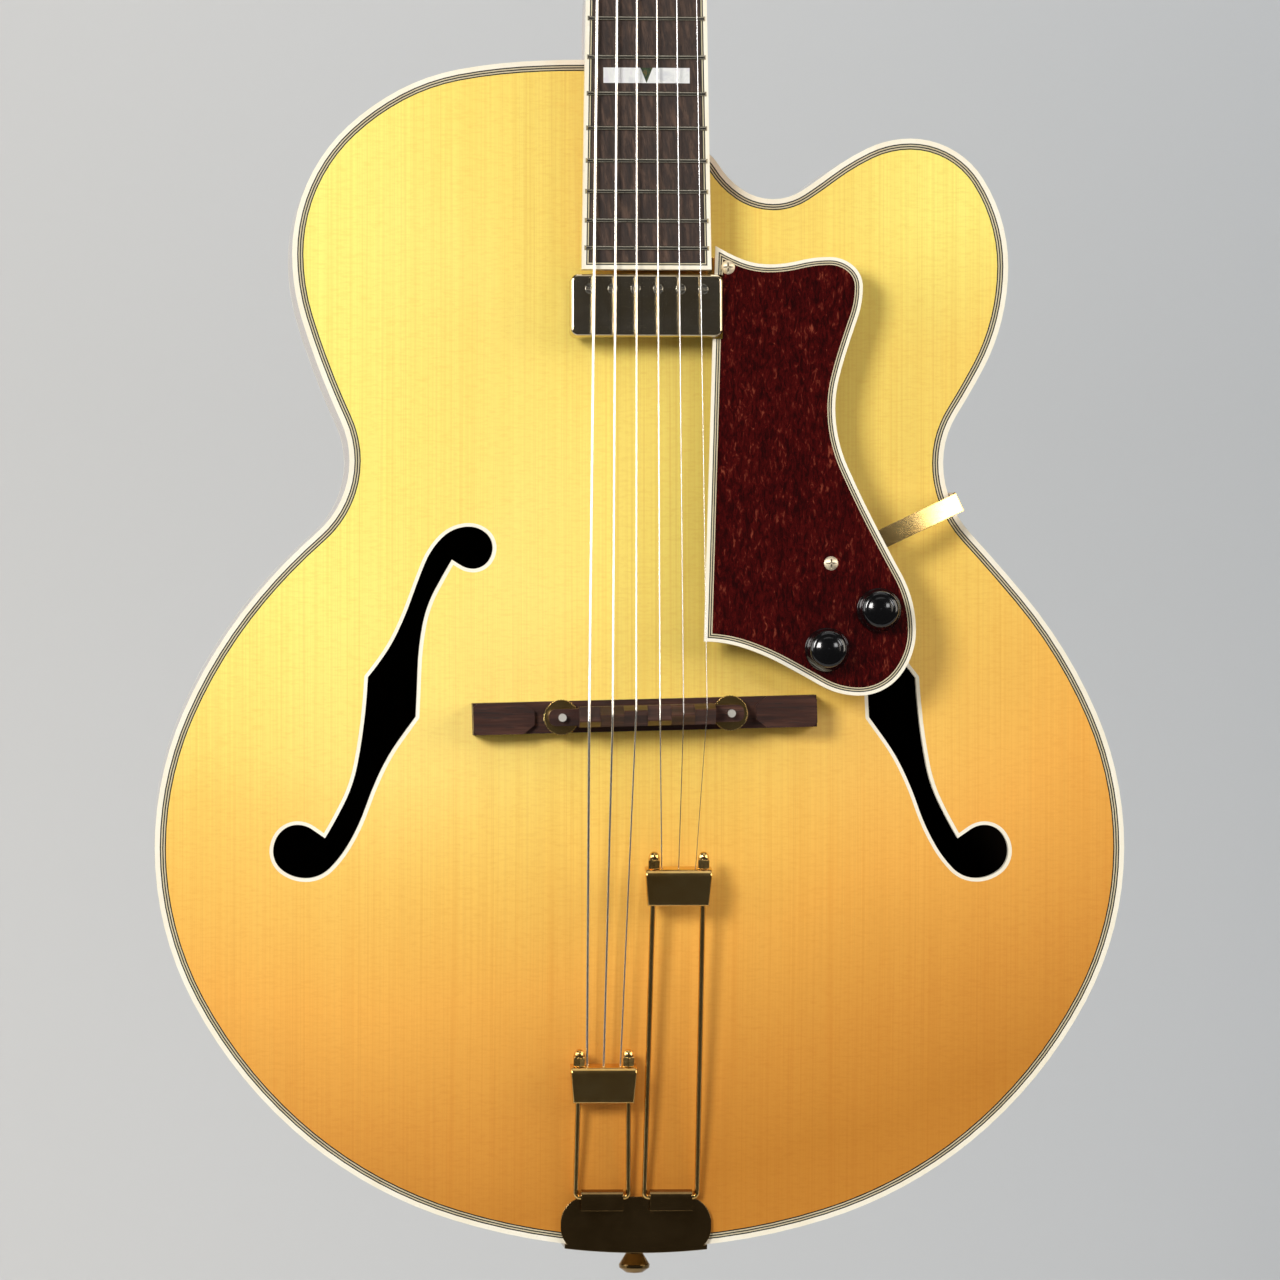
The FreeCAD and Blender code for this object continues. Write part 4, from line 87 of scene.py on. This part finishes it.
# Studio
FLOOR_Z = -0.8
FLOOR_FRONT = -1.0             # the floor ends here, and the dim room shows in the metal beyond it
BACKDROP_Y = 1.9
STUDIO_WIDTH = 9.0
STUDIO_HEIGHT = 4.8
SWEEP_RADIUS = 1.2
SWEEP_STEPS = 16
BACKDROP_SHADE_SPAN = (-0.4, 0.6)    # from left to right, painted shade darkens the backdrop over this span
ROOM_COLOUR = (0.045, 0.045, 0.047, 1.0)

# Lamps: name, place, the point faced, width, watts and colour
GUITAR_MIDDLE = (0.0, 0.0, 0.3)
BACKDROP_MIDDLE = (0.0, BACKDROP_Y, 0.6)
LAMPS = (
    ("key", (-1.45, -2.3, 1.15), GUITAR_MIDDLE, 0.8, 53.0, (1.0, 0.98, 0.95)),
    ("left", (-2.4, -0.9, 0.95), GUITAR_MIDDLE, 1.6, 26.0, (1.0, 0.99, 0.97)),
    ("right", (2.3, -1.2, 0.95), GUITAR_MIDDLE, 1.6, 36.0, (1.0, 0.91, 0.79)),
    ("front_right", (1.29, -2.04, 1.03), GUITAR_MIDDLE, 0.5, 6.0, (1.0, 1.0, 1.0)),
    ("above", (0.2, -1.3, 2.8), GUITAR_MIDDLE, 2.0, 10.0, (1.0, 1.0, 1.0)),
    ("back", (0.4, 0.9, 2.6), BACKDROP_MIDDLE, 1.8, 36.0, (1.0, 1.0, 1.0)),
)

# Painted light on the top: a pool of light painted into the varnish colour, palest at this place and darker
# the further from it
LIT_POOL_X = -0.128
LIT_POOL_Z = 0.399
LIT_POOL_STRETCH = 1.4             # wider than high
LIGHT_FALLOFF_REACH = 0.40

# Painted highlight in lemon yellow at the left edge and on the horn: its share, and the spans over which it
# fades
PAINTED_HIGHLIGHT_SHARE = 0.8
LEFT_HIGHLIGHT_FADE_X = (-0.14, -0.08)
LEFT_HIGHLIGHT_FADE_Z = (0.20, 0.29)
HORN_HIGHLIGHT_FADE_X = (0.07, 0.13)
HORN_HIGHLIGHT_FADE_Z = (0.40, 0.46)

nodes = frame["nodes"]


def linear(red, green, blue):
    """Linear colour for the eight-bit values that a picture shows."""
    def one(value):
        value /= 255.0
        return value / 12.92 if value <= 0.04045 else ((value + 0.055) / 1.055) ** 2.4
    return one(red), one(green), one(blue), 1.0


class Shader:
    """One node material with short ways to add texture, colour and bump."""

    def __init__(self, name, roughness=0.4, metallic=0.0, coat=0.0, coat_roughness=0.08):
        self.material = bpy.data.materials.new(name)
        self.material.use_nodes = True
        self.tree = self.material.node_tree
        self.shader = self.tree.nodes["Principled BSDF"]
        self.set("Metallic", metallic)
        self.set("Roughness", roughness)
        if coat:
            self.set("Coat Weight", coat)
            self.set("Coat Roughness", coat_roughness)
        coordinates = self.node("ShaderNodeTexCoord")
        self.place = coordinates.outputs["Object"]
        split = self.node("ShaderNodeSeparateXYZ", Vector=self.place)
        self.x, self.y, self.z = (split.outputs[axis] for axis in "XYZ")

    def put(self, node, key, value):
        """Links a socket to an input, or sets the input's own value."""
        socket = node.inputs[key]
        if isinstance(value, bpy.types.NodeSocket):
            self.tree.links.new(value, socket)
        else:
            socket.default_value = value

    def node(self, kind, settings=None, **inputs):
        """New node with its settings and named inputs."""
        made = self.tree.nodes.new(kind)
        for key, value in (settings or {}).items():
            setattr(made, key, value)
        for key, value in inputs.items():
            self.put(made, key, value)
        return made

    def set(self, key, value):
        """Input of the main shader."""
        self.put(self.shader, key, value)

    def math(self, operation, first, second=0.0):
        made = self.node("ShaderNodeMath", {"operation": operation})
        self.put(made, 0, first)
        self.put(made, 1, second)
        return made.outputs[0]

    def join(self, x, y, z):
        return self.node("ShaderNodeCombineXYZ", X=x, Y=y, Z=z).outputs[0]

    def noise(self, stretch, detail=3.0, roughness=0.55, distortion=0.0, place=None):
        """Noise with so many cells to the metre along each axis."""
        mapped = self.node("ShaderNodeMapping", Vector=place or self.place, Scale=stretch)
        made = self.node("ShaderNodeTexNoise", Vector=mapped.outputs[0], Scale=1.0, Detail=detail,
                         Roughness=roughness, Distortion=distortion)
        return made.outputs["Fac"]

    def ramp(self, factor, stops):
        """Colour for a factor, from (position, colour) stops."""
        made = self.node("ShaderNodeValToRGB", Fac=factor)
        elements = made.color_ramp.elements
        while len(elements) < len(stops):
            elements.new(0.5)
        for element, (position, colour) in zip(elements, stops):
            element.position = position
            element.color = colour
        return made.outputs["Color"]

    def level(self, factor, low, high, start=0.0, end=1.0):
        """Value from low to high while the factor goes from start to end."""
        made = self.node("ShaderNodeMapRange", Value=factor)
        for key, value in zip(("From Min", "From Max", "To Min", "To Max"), (start, end, low, high)):
            self.put(made, key, value)
        return made.outputs["Result"]

    def mix(self, factor, first, second, blend="MIX"):
        """Second colour laid over the first."""
        made = self.node("ShaderNodeMix", {"data_type": "RGBA", "blend_type": blend})
        self.put(made, "Factor", factor)
        self.put(made, 6, first)
        self.put(made, 7, second)
        return made.outputs[2]

    def bump(self, height, strength, distance, edge=0.0):
        """Small relief, over edges that look rounded by that radius."""
        made = self.node("ShaderNodeBump", Height=height, Strength=strength, Distance=distance)
        if edge:
            self.put(made, "Normal", self.node("ShaderNodeBevel", Radius=edge).outputs["Normal"])
        self.set("Normal", made.outputs["Normal"])


def spruce():
    """Varnished spruce with upright grain and silk across it, and painted light: a pale yellow pool at the
    upper left that falls off to amber below.
    """
    s = Shader("spruce_top", coat=0.25, coat_roughness=0.3)
    mirrored = s.join(s.math("ABSOLUTE", s.x), s.y, s.z)
    grain = s.noise((1150, 40, 3.5), 2.5, 0.6, place=mirrored)
    fine = s.noise((2600, 60, 9), 2.0, place=mirrored)
    silk = s.noise((190, 40, 850), 3.0, 0.7, 0.4, place=mirrored)
    broad = s.noise((9, 9, 4), 2.0)
    # Painted light: palest at the lit spot given above, darker the further from it
    across = s.math("DIVIDE", s.math("SUBTRACT", s.x, LIT_POOL_X), LIT_POOL_STRETCH)
    along = s.math("SUBTRACT", s.z, LIT_POOL_Z)
    squares = s.math("ADD", s.math("MULTIPLY", across, across), s.math("MULTIPLY", along, along))
    from_lit_pool = s.math("SQRT", squares)
    tone = s.math("ADD", s.level(from_lit_pool, 0.0, 1.0, 0.0, LIGHT_FALLOFF_REACH), s.level(broad, -0.05, 0.05))
    base = s.ramp(tone, [(0.30, linear(255, 229, 115)), (0.47, linear(254, 221, 110)),
                         (0.60, linear(253, 203, 96)), (0.72, linear(251, 186, 84)),
                         (0.86, linear(226, 157, 64)), (0.97, linear(204, 136, 48))])
    # Painted highlight: lemon yellow laid over the left edge and the horn
    left = s.math("MULTIPLY", s.level(s.x, PAINTED_HIGHLIGHT_SHARE, 0.0, *LEFT_HIGHLIGHT_FADE_X),
                  s.level(s.z, 0.0, 1.0, *LEFT_HIGHLIGHT_FADE_Z))
    horn = s.math("MULTIPLY", s.level(s.x, 0.0, PAINTED_HIGHLIGHT_SHARE, *HORN_HIGHLIGHT_FADE_X),
                  s.level(s.z, 0.0, 1.0, *HORN_HIGHLIGHT_FADE_Z))
    base = s.mix(s.math("ADD", left, horn), base, linear(255, 248, 132))
    late_wood = s.mix(1.0, base, linear(236, 206, 160), "MULTIPLY")
    lined = s.mix(s.level(grain, 0.0, 0.3, 0.42, 0.72), base, late_wood)
    lined = s.mix(s.level(fine, 0.0, 0.12, 0.45, 0.75), lined, linear(196, 132, 54))
    fleck = s.mix(1.0, base, linear(236, 214, 178), "MULTIPLY")
    s.set("Base Color", s.mix(s.level(silk, 0.0, 0.32, 0.46, 0.7), lined, fleck))
    s.set("Roughness", s.level(silk, 0.30, 0.42))
    s.bump(grain, 0.10, 0.0002)
    return s.material


def flamed_maple(name, stretch, angle_share):
    """Varnished maple with flame bands across the grain."""
    s = Shader(name, coat=1.0, coat_roughness=0.04)
    leaning = s.math("ADD", s.z, s.math("MULTIPLY", s.math("ABSOLUTE", s.x), angle_share))
    place = s.join(s.x, s.y, leaning)
    flame = s.noise(stretch, 2.0, 0.5, 0.6, place=place)
    pores = s.noise((420, 420, 14), 2.0, place=place)
    base = s.ramp(flame, [(0.28, linear(186, 112, 42)), (0.46, linear(222, 152, 68)),
                          (0.58, linear(232, 170, 84)), (0.74, linear(196, 122, 48))])
    s.set("Base Color", s.mix(s.level(pores, 0.0, 0.25, 0.5, 0.8), base, linear(150, 88, 34)))
    s.set("Roughness", s.level(flame, 0.26, 0.38))
    s.bump(pores, 0.05, 0.0001)
    return s.material


def neck_wood():
    """Maple neck with thin dark strips along its length."""
    s = Shader("maple_neck", coat=1.0, coat_roughness=0.04)
    streak = s.noise((160, 160, 5), 3.0, 0.6, 0.4)
    flame = s.noise((18, 18, 85), 2.0)
    base = s.ramp(streak, [(0.3, linear(190, 118, 48)), (0.55, linear(220, 152, 72)),
                           (0.8, linear(202, 130, 56))])
    base = s.mix(s.level(flame, 0.0, 0.3, 0.45, 0.7), base, linear(166, 98, 38))
    across = s.math("ABSOLUTE", s.x)
    inner = s.math("LESS_THAN", across, NECK_STRIP_INNER)
    outer = s.math("MULTIPLY", s.math("GREATER_THAN", across, NECK_STRIPS[0]),
                   s.math("LESS_THAN", across, NECK_STRIPS[1]))
    strip = s.math("MAXIMUM", inner, outer)
    walnut = s.ramp(streak, [(0.3, linear(62, 36, 20)), (0.8, linear(92, 56, 30))])
    s.set("Base Color", s.mix(strip, base, walnut))
    s.set("Roughness", s.level(streak, 0.28, 0.4))
    s.bump(streak, 0.04, 0.0001)
    return s.material


def rosewood(name, stretch, slant, dark, middle, light, roughness):
    """Oiled rosewood with dark pores along the grain, which leans by the slant."""
    s = Shader(name)
    place = s.join(s.math("ADD", s.x, s.math("MULTIPLY", s.z, slant)), s.y, s.z)
    streak = s.noise(stretch, 4.0, 0.6, 0.4, place)
    fine = s.noise(tuple(4 * value for value in stretch), 3.0, 0.6, 0.0, place)
    base = s.ramp(streak, [(0.28, dark), (0.5, middle), (0.72, light)])
    pores = s.level(fine, 0.0, 0.75, 0.56, 0.68)
    s.set("Base Color", s.mix(pores, base, linear(26, 14, 10)))
    s.set("Roughness", s.level(fine, roughness - 0.08, roughness + 0.1))
    s.bump(fine, 0.35, 0.0002)
    return s.material


def painted_shade_wood():
    """Wood inside the body, painted near black: painted shade for the dark inside of the body, with faint
    grain.
    """
    s = Shader("inner_wood", roughness=0.85)
    streak = s.noise((260, 260, 8), 3.0, 0.6, 0.3)
    s.set("Specular IOR Level", 0.1)
    s.set("Base Color", s.ramp(streak, [(0.3, linear(20, 14, 9)), (0.7, linear(32, 23, 15))]))
    s.bump(streak, 0.15, 0.0002)
    return s.material


def celluloid(name, low, high, roughness=0.28, coat=0.3):
    """Polished plastic with a faint cloudy grain."""
    s = Shader(name, coat=coat)
    cloud = s.noise((60, 60, 22), 3.0, 0.6, 0.5)
    speck = s.noise((900, 900, 900), 2.0)
    s.set("Base Color", s.ramp(s.math("ADD", cloud, s.level(speck, -0.1, 0.1)), [(0.3, low), (0.7, high)]))
    s.set("Roughness", s.level(speck, roughness - 0.05, roughness + 0.08))
    s.bump(speck, 0.03, 0.00005)
    return s.material


def tortoise():
    """Dark red tortoise-shell plastic with small upright mottles."""
    s = Shader("tortoise", coat=0.2, coat_roughness=0.05)
    wavy = s.noise((150, 150, 62), 4.0, 0.62, 1.8)
    cell = s.noise((620, 620, 210), 3.0, 0.6, 1.2)
    blend = s.math("ADD", s.math("MULTIPLY", wavy, 0.4), s.math("MULTIPLY", cell, 0.6))
    s.set("Base Color", s.ramp(blend, [(0.40, linear(36, 2, 2)), (0.50, linear(58, 4, 4)),
                                       (0.58, linear(72, 9, 7)), (0.68, linear(132, 62, 44))]))
    s.set("Roughness", s.level(cell, 0.08, 0.14))
    s.bump(cell, 0.02, 0.00005)
    return s.material


def metal(name, low, high, roughness, edge=0.0, slot_shade_colour=None):
    """Metal with fine marks and changes of tone, and with rounded edges and painted shade in its hollows if
    asked for.
    """
    s = Shader(name, metallic=1.0)
    tone = s.noise((70, 70, 70), 3.0, 0.6, 0.4)
    marks = s.noise((260, 260, 1400), 3.0, 0.7)
    base = s.ramp(tone, [(0.3, low), (0.7, high)])
    if slot_shade_colour:
        # Painted shade: slots and other recesses darken by ambient occlusion
        open_share = s.node("ShaderNodeAmbientOcclusion", Distance=SLOT_SHADE_REACH).outputs["AO"]
        base = s.mix(s.level(open_share, 0.0, 1.0, 0.35, 0.8), slot_shade_colour, base)
    s.set("Base Color", base)
    s.set("Roughness", s.level(marks, roughness - 0.05, roughness + 0.08))
    s.bump(marks, 0.04, 0.00005, edge)
    return s.material


def wound_wire():
    """Wire wound round a core, seen as fine rings along the string."""
    s = Shader("wound_string", metallic=1.0)
    turn = s.math("SINE", s.math("MULTIPLY", s.z, 2 * math.pi / WINDING_PITCH))
    tone = s.noise((40, 40, 12), 2.0)
    s.set("Base Color", s.ramp(tone, [(0.3, linear(238, 233, 224)), (0.7, linear(250, 247, 240))]))
    s.set("Roughness", s.level(turn, 0.16, 0.28, -1.0, 1.0))
    s.bump(turn, 0.12, 0.0001)
    return s.material


def pearl(name, stops, scale):
    """Shell inlay with drifting colour."""
    s = Shader(name, coat=0.5)
    drift = s.noise((scale, scale, scale * 0.6), 3.0, 0.6, 1.8)
    s.set("Base Color", s.ramp(drift, stops))
    s.set("Roughness", s.level(drift, 0.14, 0.3))
    return s.material


def smooth(node):
    """Smooth shading that keeps the sharp edges of a CAD node."""
    weld = node.modifiers.new("weld", "WELD")
    weld.merge_threshold = WELD_REACH
    split = node.modifiers.new("sharp_edges", "EDGE_SPLIT")
    split.split_angle = math.radians(SHARP_EDGE)
    split.use_edge_sharp = False
    node.data.shade_smooth()


def paint(names, material):
    """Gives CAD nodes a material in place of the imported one."""
    for name in names.split():
        node = nodes[name]
        node.data.materials.clear()
        node.data.materials.append(material)
        for face in node.data.polygons:
            face.material_index = 0


def paint_inside(name, material, faces_inward):
    """Gives the inner faces of a shell their own material."""
    mesh = nodes[name].data
    mesh.materials.append(material)
    for face in mesh.polygons:
        if faces_inward(face):
            face.material_index = 1


def islands(faces, mark):
    """Lists of faces that hang together: two faces do if corners of theirs have the same mark."""
    parent = {}

    def root(key):
        while parent[key] != key:
            parent[key] = parent[parent[key]]
            key = parent[key]
        return key

    for face in faces:
        marks = [mark(number) for number in face.vertices]
        for key in marks:
            parent.setdefault(key, key)
        for key in marks[1:]:
            parent[root(key)] = root(marks[0])
    groups = {}
    for face in faces:
        groups.setdefault(root(mark(face.vertices[0])), []).append(face)
    return list(groups.values())


def solids(mesh):
    """Lists of faces, one for each solid of a mesh whose solids stand apart."""
    marks = [tuple(round(value * MARKS_PER_METRE) for value in vertex.co) for vertex in mesh.vertices]
    return islands(mesh.polygons, lambda number: marks[number])


def paint_rings(name, materials):
    """Paints the front faces of nested rings from the outside in, and all other faces like the first ring."""
    mesh = nodes[name].data
    paint(name, materials[0])
    for material in materials[1:]:
        mesh.materials.append(material)

    def width(faces):
        across = [mesh.vertices[number].co.x for face in faces for number in face.vertices]
        return max(across) - min(across)

    front = [face for face in mesh.polygons if face.normal.y < -FACING]
    for rank, faces in enumerate(sorted(islands(front, lambda number: number), key=width, reverse=True)):
        for face in faces:
            face.material_index = rank


def piece(name, mesh_maker, material):
    """New object from a bmesh, with smooth faces and the given material in its slot."""
    mesh = bpy.data.meshes.new(name)
    mesh_maker.to_mesh(mesh)
    mesh_maker.free()
    mesh.shade_smooth()
    mesh.set_sharp_from_angle(angle=math.radians(SHARP_EDGE))
    mesh.materials.append(material)
    made = bpy.data.objects.new(name, mesh)
    bpy.context.scene.collection.objects.link(made)
    return made


def string_mesh(source, faces):
    """Copy of one string of a CAD node, with loops along it."""
    made = bmesh.new()
    made.from_mesh(source)
    keep = {face.index for face in faces}
    bmesh.ops.delete(made, geom=[face for face in made.faces if face.index not in keep], context="FACES")
    bmesh.ops.remove_doubles(made, verts=made.verts[:], dist=WELD_REACH)
    heights = [vertex.co.z for vertex in made.verts]
    level = min(heights) + STRING_LOOP
    while level < max(heights):
        bmesh.ops.bisect_plane(made, geom=made.verts[:] + made.edges[:] + made.faces[:],
                               plane_co=(0, 0, level), plane_no=(0, 0, 1))
        level += STRING_LOOP
    return made


def cut_between(source, low, high):
    """The closed stretch of a string between two heights."""
    part = source.copy()
    for level, side in ((low, -1), (high, 1)):
        cut = bmesh.ops.bisect_plane(part, geom=part.verts[:] + part.edges[:] + part.faces[:],
                                     plane_co=(0, 0, level), plane_no=(0, 0, side), clear_outer=True)
        rim = [item for item in cut["geom_cut"] if isinstance(item, bmesh.types.BMEdge)]
        if rim:
            bmesh.ops.holes_fill(part, edges=rim, sides=0)
    return part


def strings():
    """Each string in three runs: the tail by its fork, the rise to the saddle, and the span along the neck.
    """
    found = []
    for name in ("wound_strings", "plain_strings"):
        mesh = nodes[name].data
        for faces in solids(mesh):
            middle = sum(face.center.x for face in faces) / len(faces)
            found.append((middle, name, faces))
    found.sort(key=lambda item: item[0])
    for rank, (_, name, faces) in enumerate(found):
        whole = string_mesh(nodes[name].data, faces)
        low = min(whole.verts, key=lambda vertex: vertex.co.z).co.copy()
        high = max(whole.verts, key=lambda vertex: vertex.co.z).co.copy()
        crest = min(whole.verts, key=lambda vertex: abs(vertex.co.z - CREST_Z)).co.copy()
        rest = low.lerp(crest, REST_SHARE)
        fork = "bass_fork_body" if rank < BASS_STRINGS else "treble_fork_body"
        runs = (("tail", low.z - STRING_LOOP, rest.z, fork, "guitar", low, rest),
                ("rise", rest.z, CREST_Z, "guitar", "saddle", rest, crest),
                ("span", CREST_Z, high.z + STRING_LOOP, "saddle", "guitar", crest, high))
        slot = "wound_string" if name == "wound_strings" else "steel"
        for run, bottom, top, first, second, start, end in runs:
            made = piece(f"string_{rank + 1}_{run}", cut_between(whole, bottom, top), WIRE[slot])
            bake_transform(made)
            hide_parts(name)
        whole.free()


def wraps():
    """Turns of string round each post."""
    for rank, gauge in enumerate(STRING_GAUGES):
        joint = next(item for item in frame["joints"] if item["name"] == f"post_turn_{rank + 1}")
        axis = Vector(joint["axis"]).normalized()
        centre = Vector(joint["pos_m"]) - axis * WRAP_REACH
        inner = Vector((-math.copysign(1.0, centre.x), 0, 0))
        ahead = axis.cross(inner) * math.copysign(1.0, centre.x)
        made = bmesh.new()
        rings = []
        radius = POST_RADIUS + gauge / 2
        for step in range(WRAP_TURNS * WRAP_STEPS + 1):
            turn = 2 * math.pi * step / WRAP_STEPS
            out = inner * math.cos(turn) + ahead * math.sin(turn)
            middle = centre + out * radius + axis * (gauge * WRAP_SPACING * step / WRAP_STEPS)
            ring = []
            for side in range(WIRE_SIDES):
                angle = 2 * math.pi * side / WIRE_SIDES
                around = out * math.cos(angle) + axis * math.sin(angle)
                ring.append(made.verts.new(middle + around * gauge / 2))
            rings.append(ring)
        for first, second in zip(rings, rings[1:]):
            for side in range(WIRE_SIDES):
                following = (side + 1) % WIRE_SIDES
                made.faces.new((first[side], first[following], second[following], second[side]))
        made.faces.new(rings[0][::-1])
        made.faces.new(rings[-1])
        bmesh.ops.recalc_face_normals(made, faces=made.faces[:])
        slot = "wound_string" if rank < WOUND_STRINGS else "steel"
        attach(piece(f"string_wrap_{rank + 1}", made, WIRE[slot]), f"post_{rank + 1}")


def backdrop_material():
    """Pale cloth that is seen through from behind, so that it never hides the guitar's back."""
    s = Shader("backdrop", roughness=0.9)
    cloud = s.noise((0.6, 0.6, 0.6), 2.0)
    # Painted shade: the backdrop darkens from left to right, with a faint random cloud
    tone = s.math("ADD", s.level(s.x, 0.0, 1.0, *BACKDROP_SHADE_SPAN), s.level(cloud, -0.1, 0.1))
    s.set("Base Color", s.ramp(tone, [(0.0, linear(206, 207, 207)), (1.0, linear(184, 188, 192))]))
    behind = s.node("ShaderNodeNewGeometry").outputs["Backfacing"]
    one_sided = s.node("ShaderNodeMixShader", Fac=behind)
    s.put(one_sided, 1, s.shader.outputs[0])
    s.put(one_sided, 2, s.node("ShaderNodeBsdfTransparent").outputs[0])
    s.put(s.tree.nodes["Material Output"], "Surface", one_sided.outputs[0])
    return s.material


def studio():
    """Pale floor that sweeps up into a backdrop."""
    profile = [(FLOOR_FRONT, FLOOR_Z), (BACKDROP_Y - SWEEP_RADIUS, FLOOR_Z)]
    for step in range(1, SWEEP_STEPS + 1):
        angle = math.pi / 2 * step / SWEEP_STEPS
        profile.append((BACKDROP_Y - SWEEP_RADIUS + SWEEP_RADIUS * math.sin(angle),
                        FLOOR_Z + SWEEP_RADIUS * (1 - math.cos(angle))))
    profile.append((BACKDROP_Y, FLOOR_Z + STUDIO_HEIGHT))
    made = bmesh.new()
    sides = [[made.verts.new((x, y, z)) for y, z in profile] for x in (-STUDIO_WIDTH / 2, STUDIO_WIDTH / 2)]
    for k in range(len(profile) - 1):
        made.faces.new((sides[0][k], sides[1][k], sides[1][k + 1], sides[0][k + 1]))
    mesh = bpy.data.meshes.new("backdrop")
    made.to_mesh(mesh)
    made.free()
    mesh.shade_smooth()
    mesh.materials.append(backdrop_material())
    floor = bpy.data.objects.new("backdrop", mesh)
    bpy.context.scene.collection.objects.link(floor)


def lamp(name, place, target, size, power, colour):
    """Soft square lamp that faces a target."""
    data = bpy.data.lights.new(name, "AREA")
    data.size = size
    data.energy = power
    data.color = colour
    made = bpy.data.objects.new(name, data)
    made.location = place
    made.rotation_mode = "QUATERNION"
    made.rotation_quaternion = (Vector(target) - Vector(place)).to_track_quat("-Z", "Y")
    bpy.context.scene.collection.objects.link(made)


def light():
    """Soft lamps in a dim room."""
    for settings in LAMPS:
        lamp(*settings)
    world = bpy.data.worlds.new("room")
    world.use_nodes = True
    world.node_tree.nodes["Background"].inputs["Color"].default_value = ROOM_COLOUR
    bpy.context.scene.world = world


def camera():
    """Camera at the photograph's viewing angle."""
    data = bpy.data.cameras.new("camera")
    data.lens = CAMERA_LENS
    data.sensor_width = SENSOR_WIDTH
    data.clip_end = CLIP_END
    made = bpy.data.objects.new("camera", data)
    turn = Matrix.Rotation(math.radians(-CAMERA_TURN), 4, "Z")
    tilt = Matrix.Rotation(math.radians(90 + CAMERA_TILT), 4, "X")
    roll = Matrix.Rotation(math.radians(-CAMERA_ROLL), 4, "Z")
    made.matrix_world = Matrix.Translation(CAMERA_PLACE) @ turn @ tilt @ roll
    bpy.context.scene.collection.objects.link(made)
    bpy.context.scene.camera = made


bpy.context.scene.view_settings.view_transform = "Standard"
IVORY = celluloid("ivory_plastic", linear(249, 241, 218), linear(255, 250, 234))
BLACK_LINE = celluloid("black_line", linear(9, 8, 7), linear(16, 14, 12), 0.5, 0.0)
WHITE_LINE = celluloid("white_line", linear(196, 184, 150), linear(214, 204, 172), 0.5, 0.0)
GOLD = metal("gold", linear(222, 176, 98), linear(240, 204, 132), 0.16, WORN_EDGE)
# The screws' last colour is the painted shade in their slots
PALE_GOLD = metal("pale_gold", linear(250, 232, 196), linear(255, 244, 220), 0.5, 0.0, linear(70, 50, 24))
AGED_GOLD = metal("aged_gold", linear(142, 112, 68), linear(166, 134, 86), 0.16, WORN_EDGE)
STEEL = metal("steel", linear(206, 206, 208), linear(228, 228, 230), 0.2)
WIRE = {"wound_string": wound_wire(), "steel": STEEL}
BLACK = celluloid("black_lacquer", linear(7, 7, 8), linear(13, 13, 14), 0.12, 0.2)
BOARD_WOOD = rosewood("rosewood_board", (420, 420, 80), 0.12, linear(28, 17, 12), linear(54, 37, 28),
                      linear(94, 70, 55), 0.5)
BRIDGE_WOOD = rosewood("rosewood_bridge", (26, 330, 330), 0.0, linear(34, 15, 9), linear(58, 29, 19),
                       linear(88, 54, 40), 0.42)

for cad_node in nodes.values():
    smooth(cad_node)
paint("top_plate", spruce())
paint("back_plate", flamed_maple("maple_back", (14, 14, 95), 0.35))
paint("sides", flamed_maple("maple_sides", (95, 6, 95), 0.0))
paint("neck", neck_wood())
# Painted shade: the body's inside and the inner faces of back and top are painted near black
PAINTED_SHADE_WOOD = painted_shade_wood()
paint("linings neck_block tail_block tone_bars", PAINTED_SHADE_WOOD)
paint_inside("back_plate", PAINTED_SHADE_WOOD, lambda face: face.normal.y < -INNER_FACING)
paint_inside("top_plate", PAINTED_SHADE_WOOD, lambda face: face.normal.y > INNER_FACING)
paint("top_binding back_binding f_hole_binding headstock_binding heel_cap", IVORY)
paint_rings("top_purfling", [BLACK_LINE, WHITE_LINE, BLACK_LINE, WHITE_LINE, BLACK_LINE])
paint_rings("fretboard_binding", [IVORY, BLACK_LINE, WHITE_LINE, BLACK_LINE])
paint_rings("pickguard_binding", [IVORY, BLACK_LINE, WHITE_LINE, BLACK_LINE, WHITE_LINE])
paint("fretboard", BOARD_WOOD)
paint("bridge_base bridge_saddle", BRIDGE_WOOD)
paint("frets", metal("fret_wire", linear(150, 143, 128), linear(178, 171, 155), 0.22))
paint("inlay_blocks", pearl("pearl", [(0.3, linear(214, 216, 220)), (0.5, linear(236, 238, 236)),
                                      (0.7, linear(224, 222, 230))], 130))
paint("inlay_wedges", pearl("abalone", [(0.3, linear(30, 44, 44)), (0.5, linear(70, 82, 60)),
                                        (0.62, linear(110, 92, 50)), (0.75, linear(40, 60, 72))], 420))
paint("nut", celluloid("bone", linear(226, 216, 190), linear(244, 236, 214)))
paint("headstock_overlay truss_rod_cover volume_knob tone_knob", BLACK)
paint("truss_rod pot_housings", STEEL)
paint("bridge_posts", metal("worn_steel", linear(214, 210, 200), linear(236, 232, 224), 0.5))
paint("wound_strings", WIRE["wound_string"])
paint("plain_strings", STEEL)
paint("pickup_coils", celluloid("black_coil", linear(10, 10, 10), linear(20, 19, 18), 0.55, 0.0))
paint("pickguard", tortoise())
paint("pickup_cover", metal("worn_gold", linear(206, 186, 146), linear(226, 212, 184), 0.13))
paint("pickup_pole_screws", metal("nickel", linear(222, 212, 190), linear(240, 232, 214), 0.16, WORN_EDGE))
paint("screws", PALE_GOLD)
paint("tuner_housings tuner_bushings pickup_bracket pickguard_bracket", GOLD)
paint("bass_thumbwheel treble_thumbwheel bass_fork treble_fork output_jack", GOLD)
paint("tailpiece_plate strap_button", AGED_GOLD)
for number in range(1, len(STRING_GAUGES) + 1):
    paint(f"tuner_key_{number} tuner_post_{number}", GOLD)

strings()
wraps()
studio()
light()
camera()
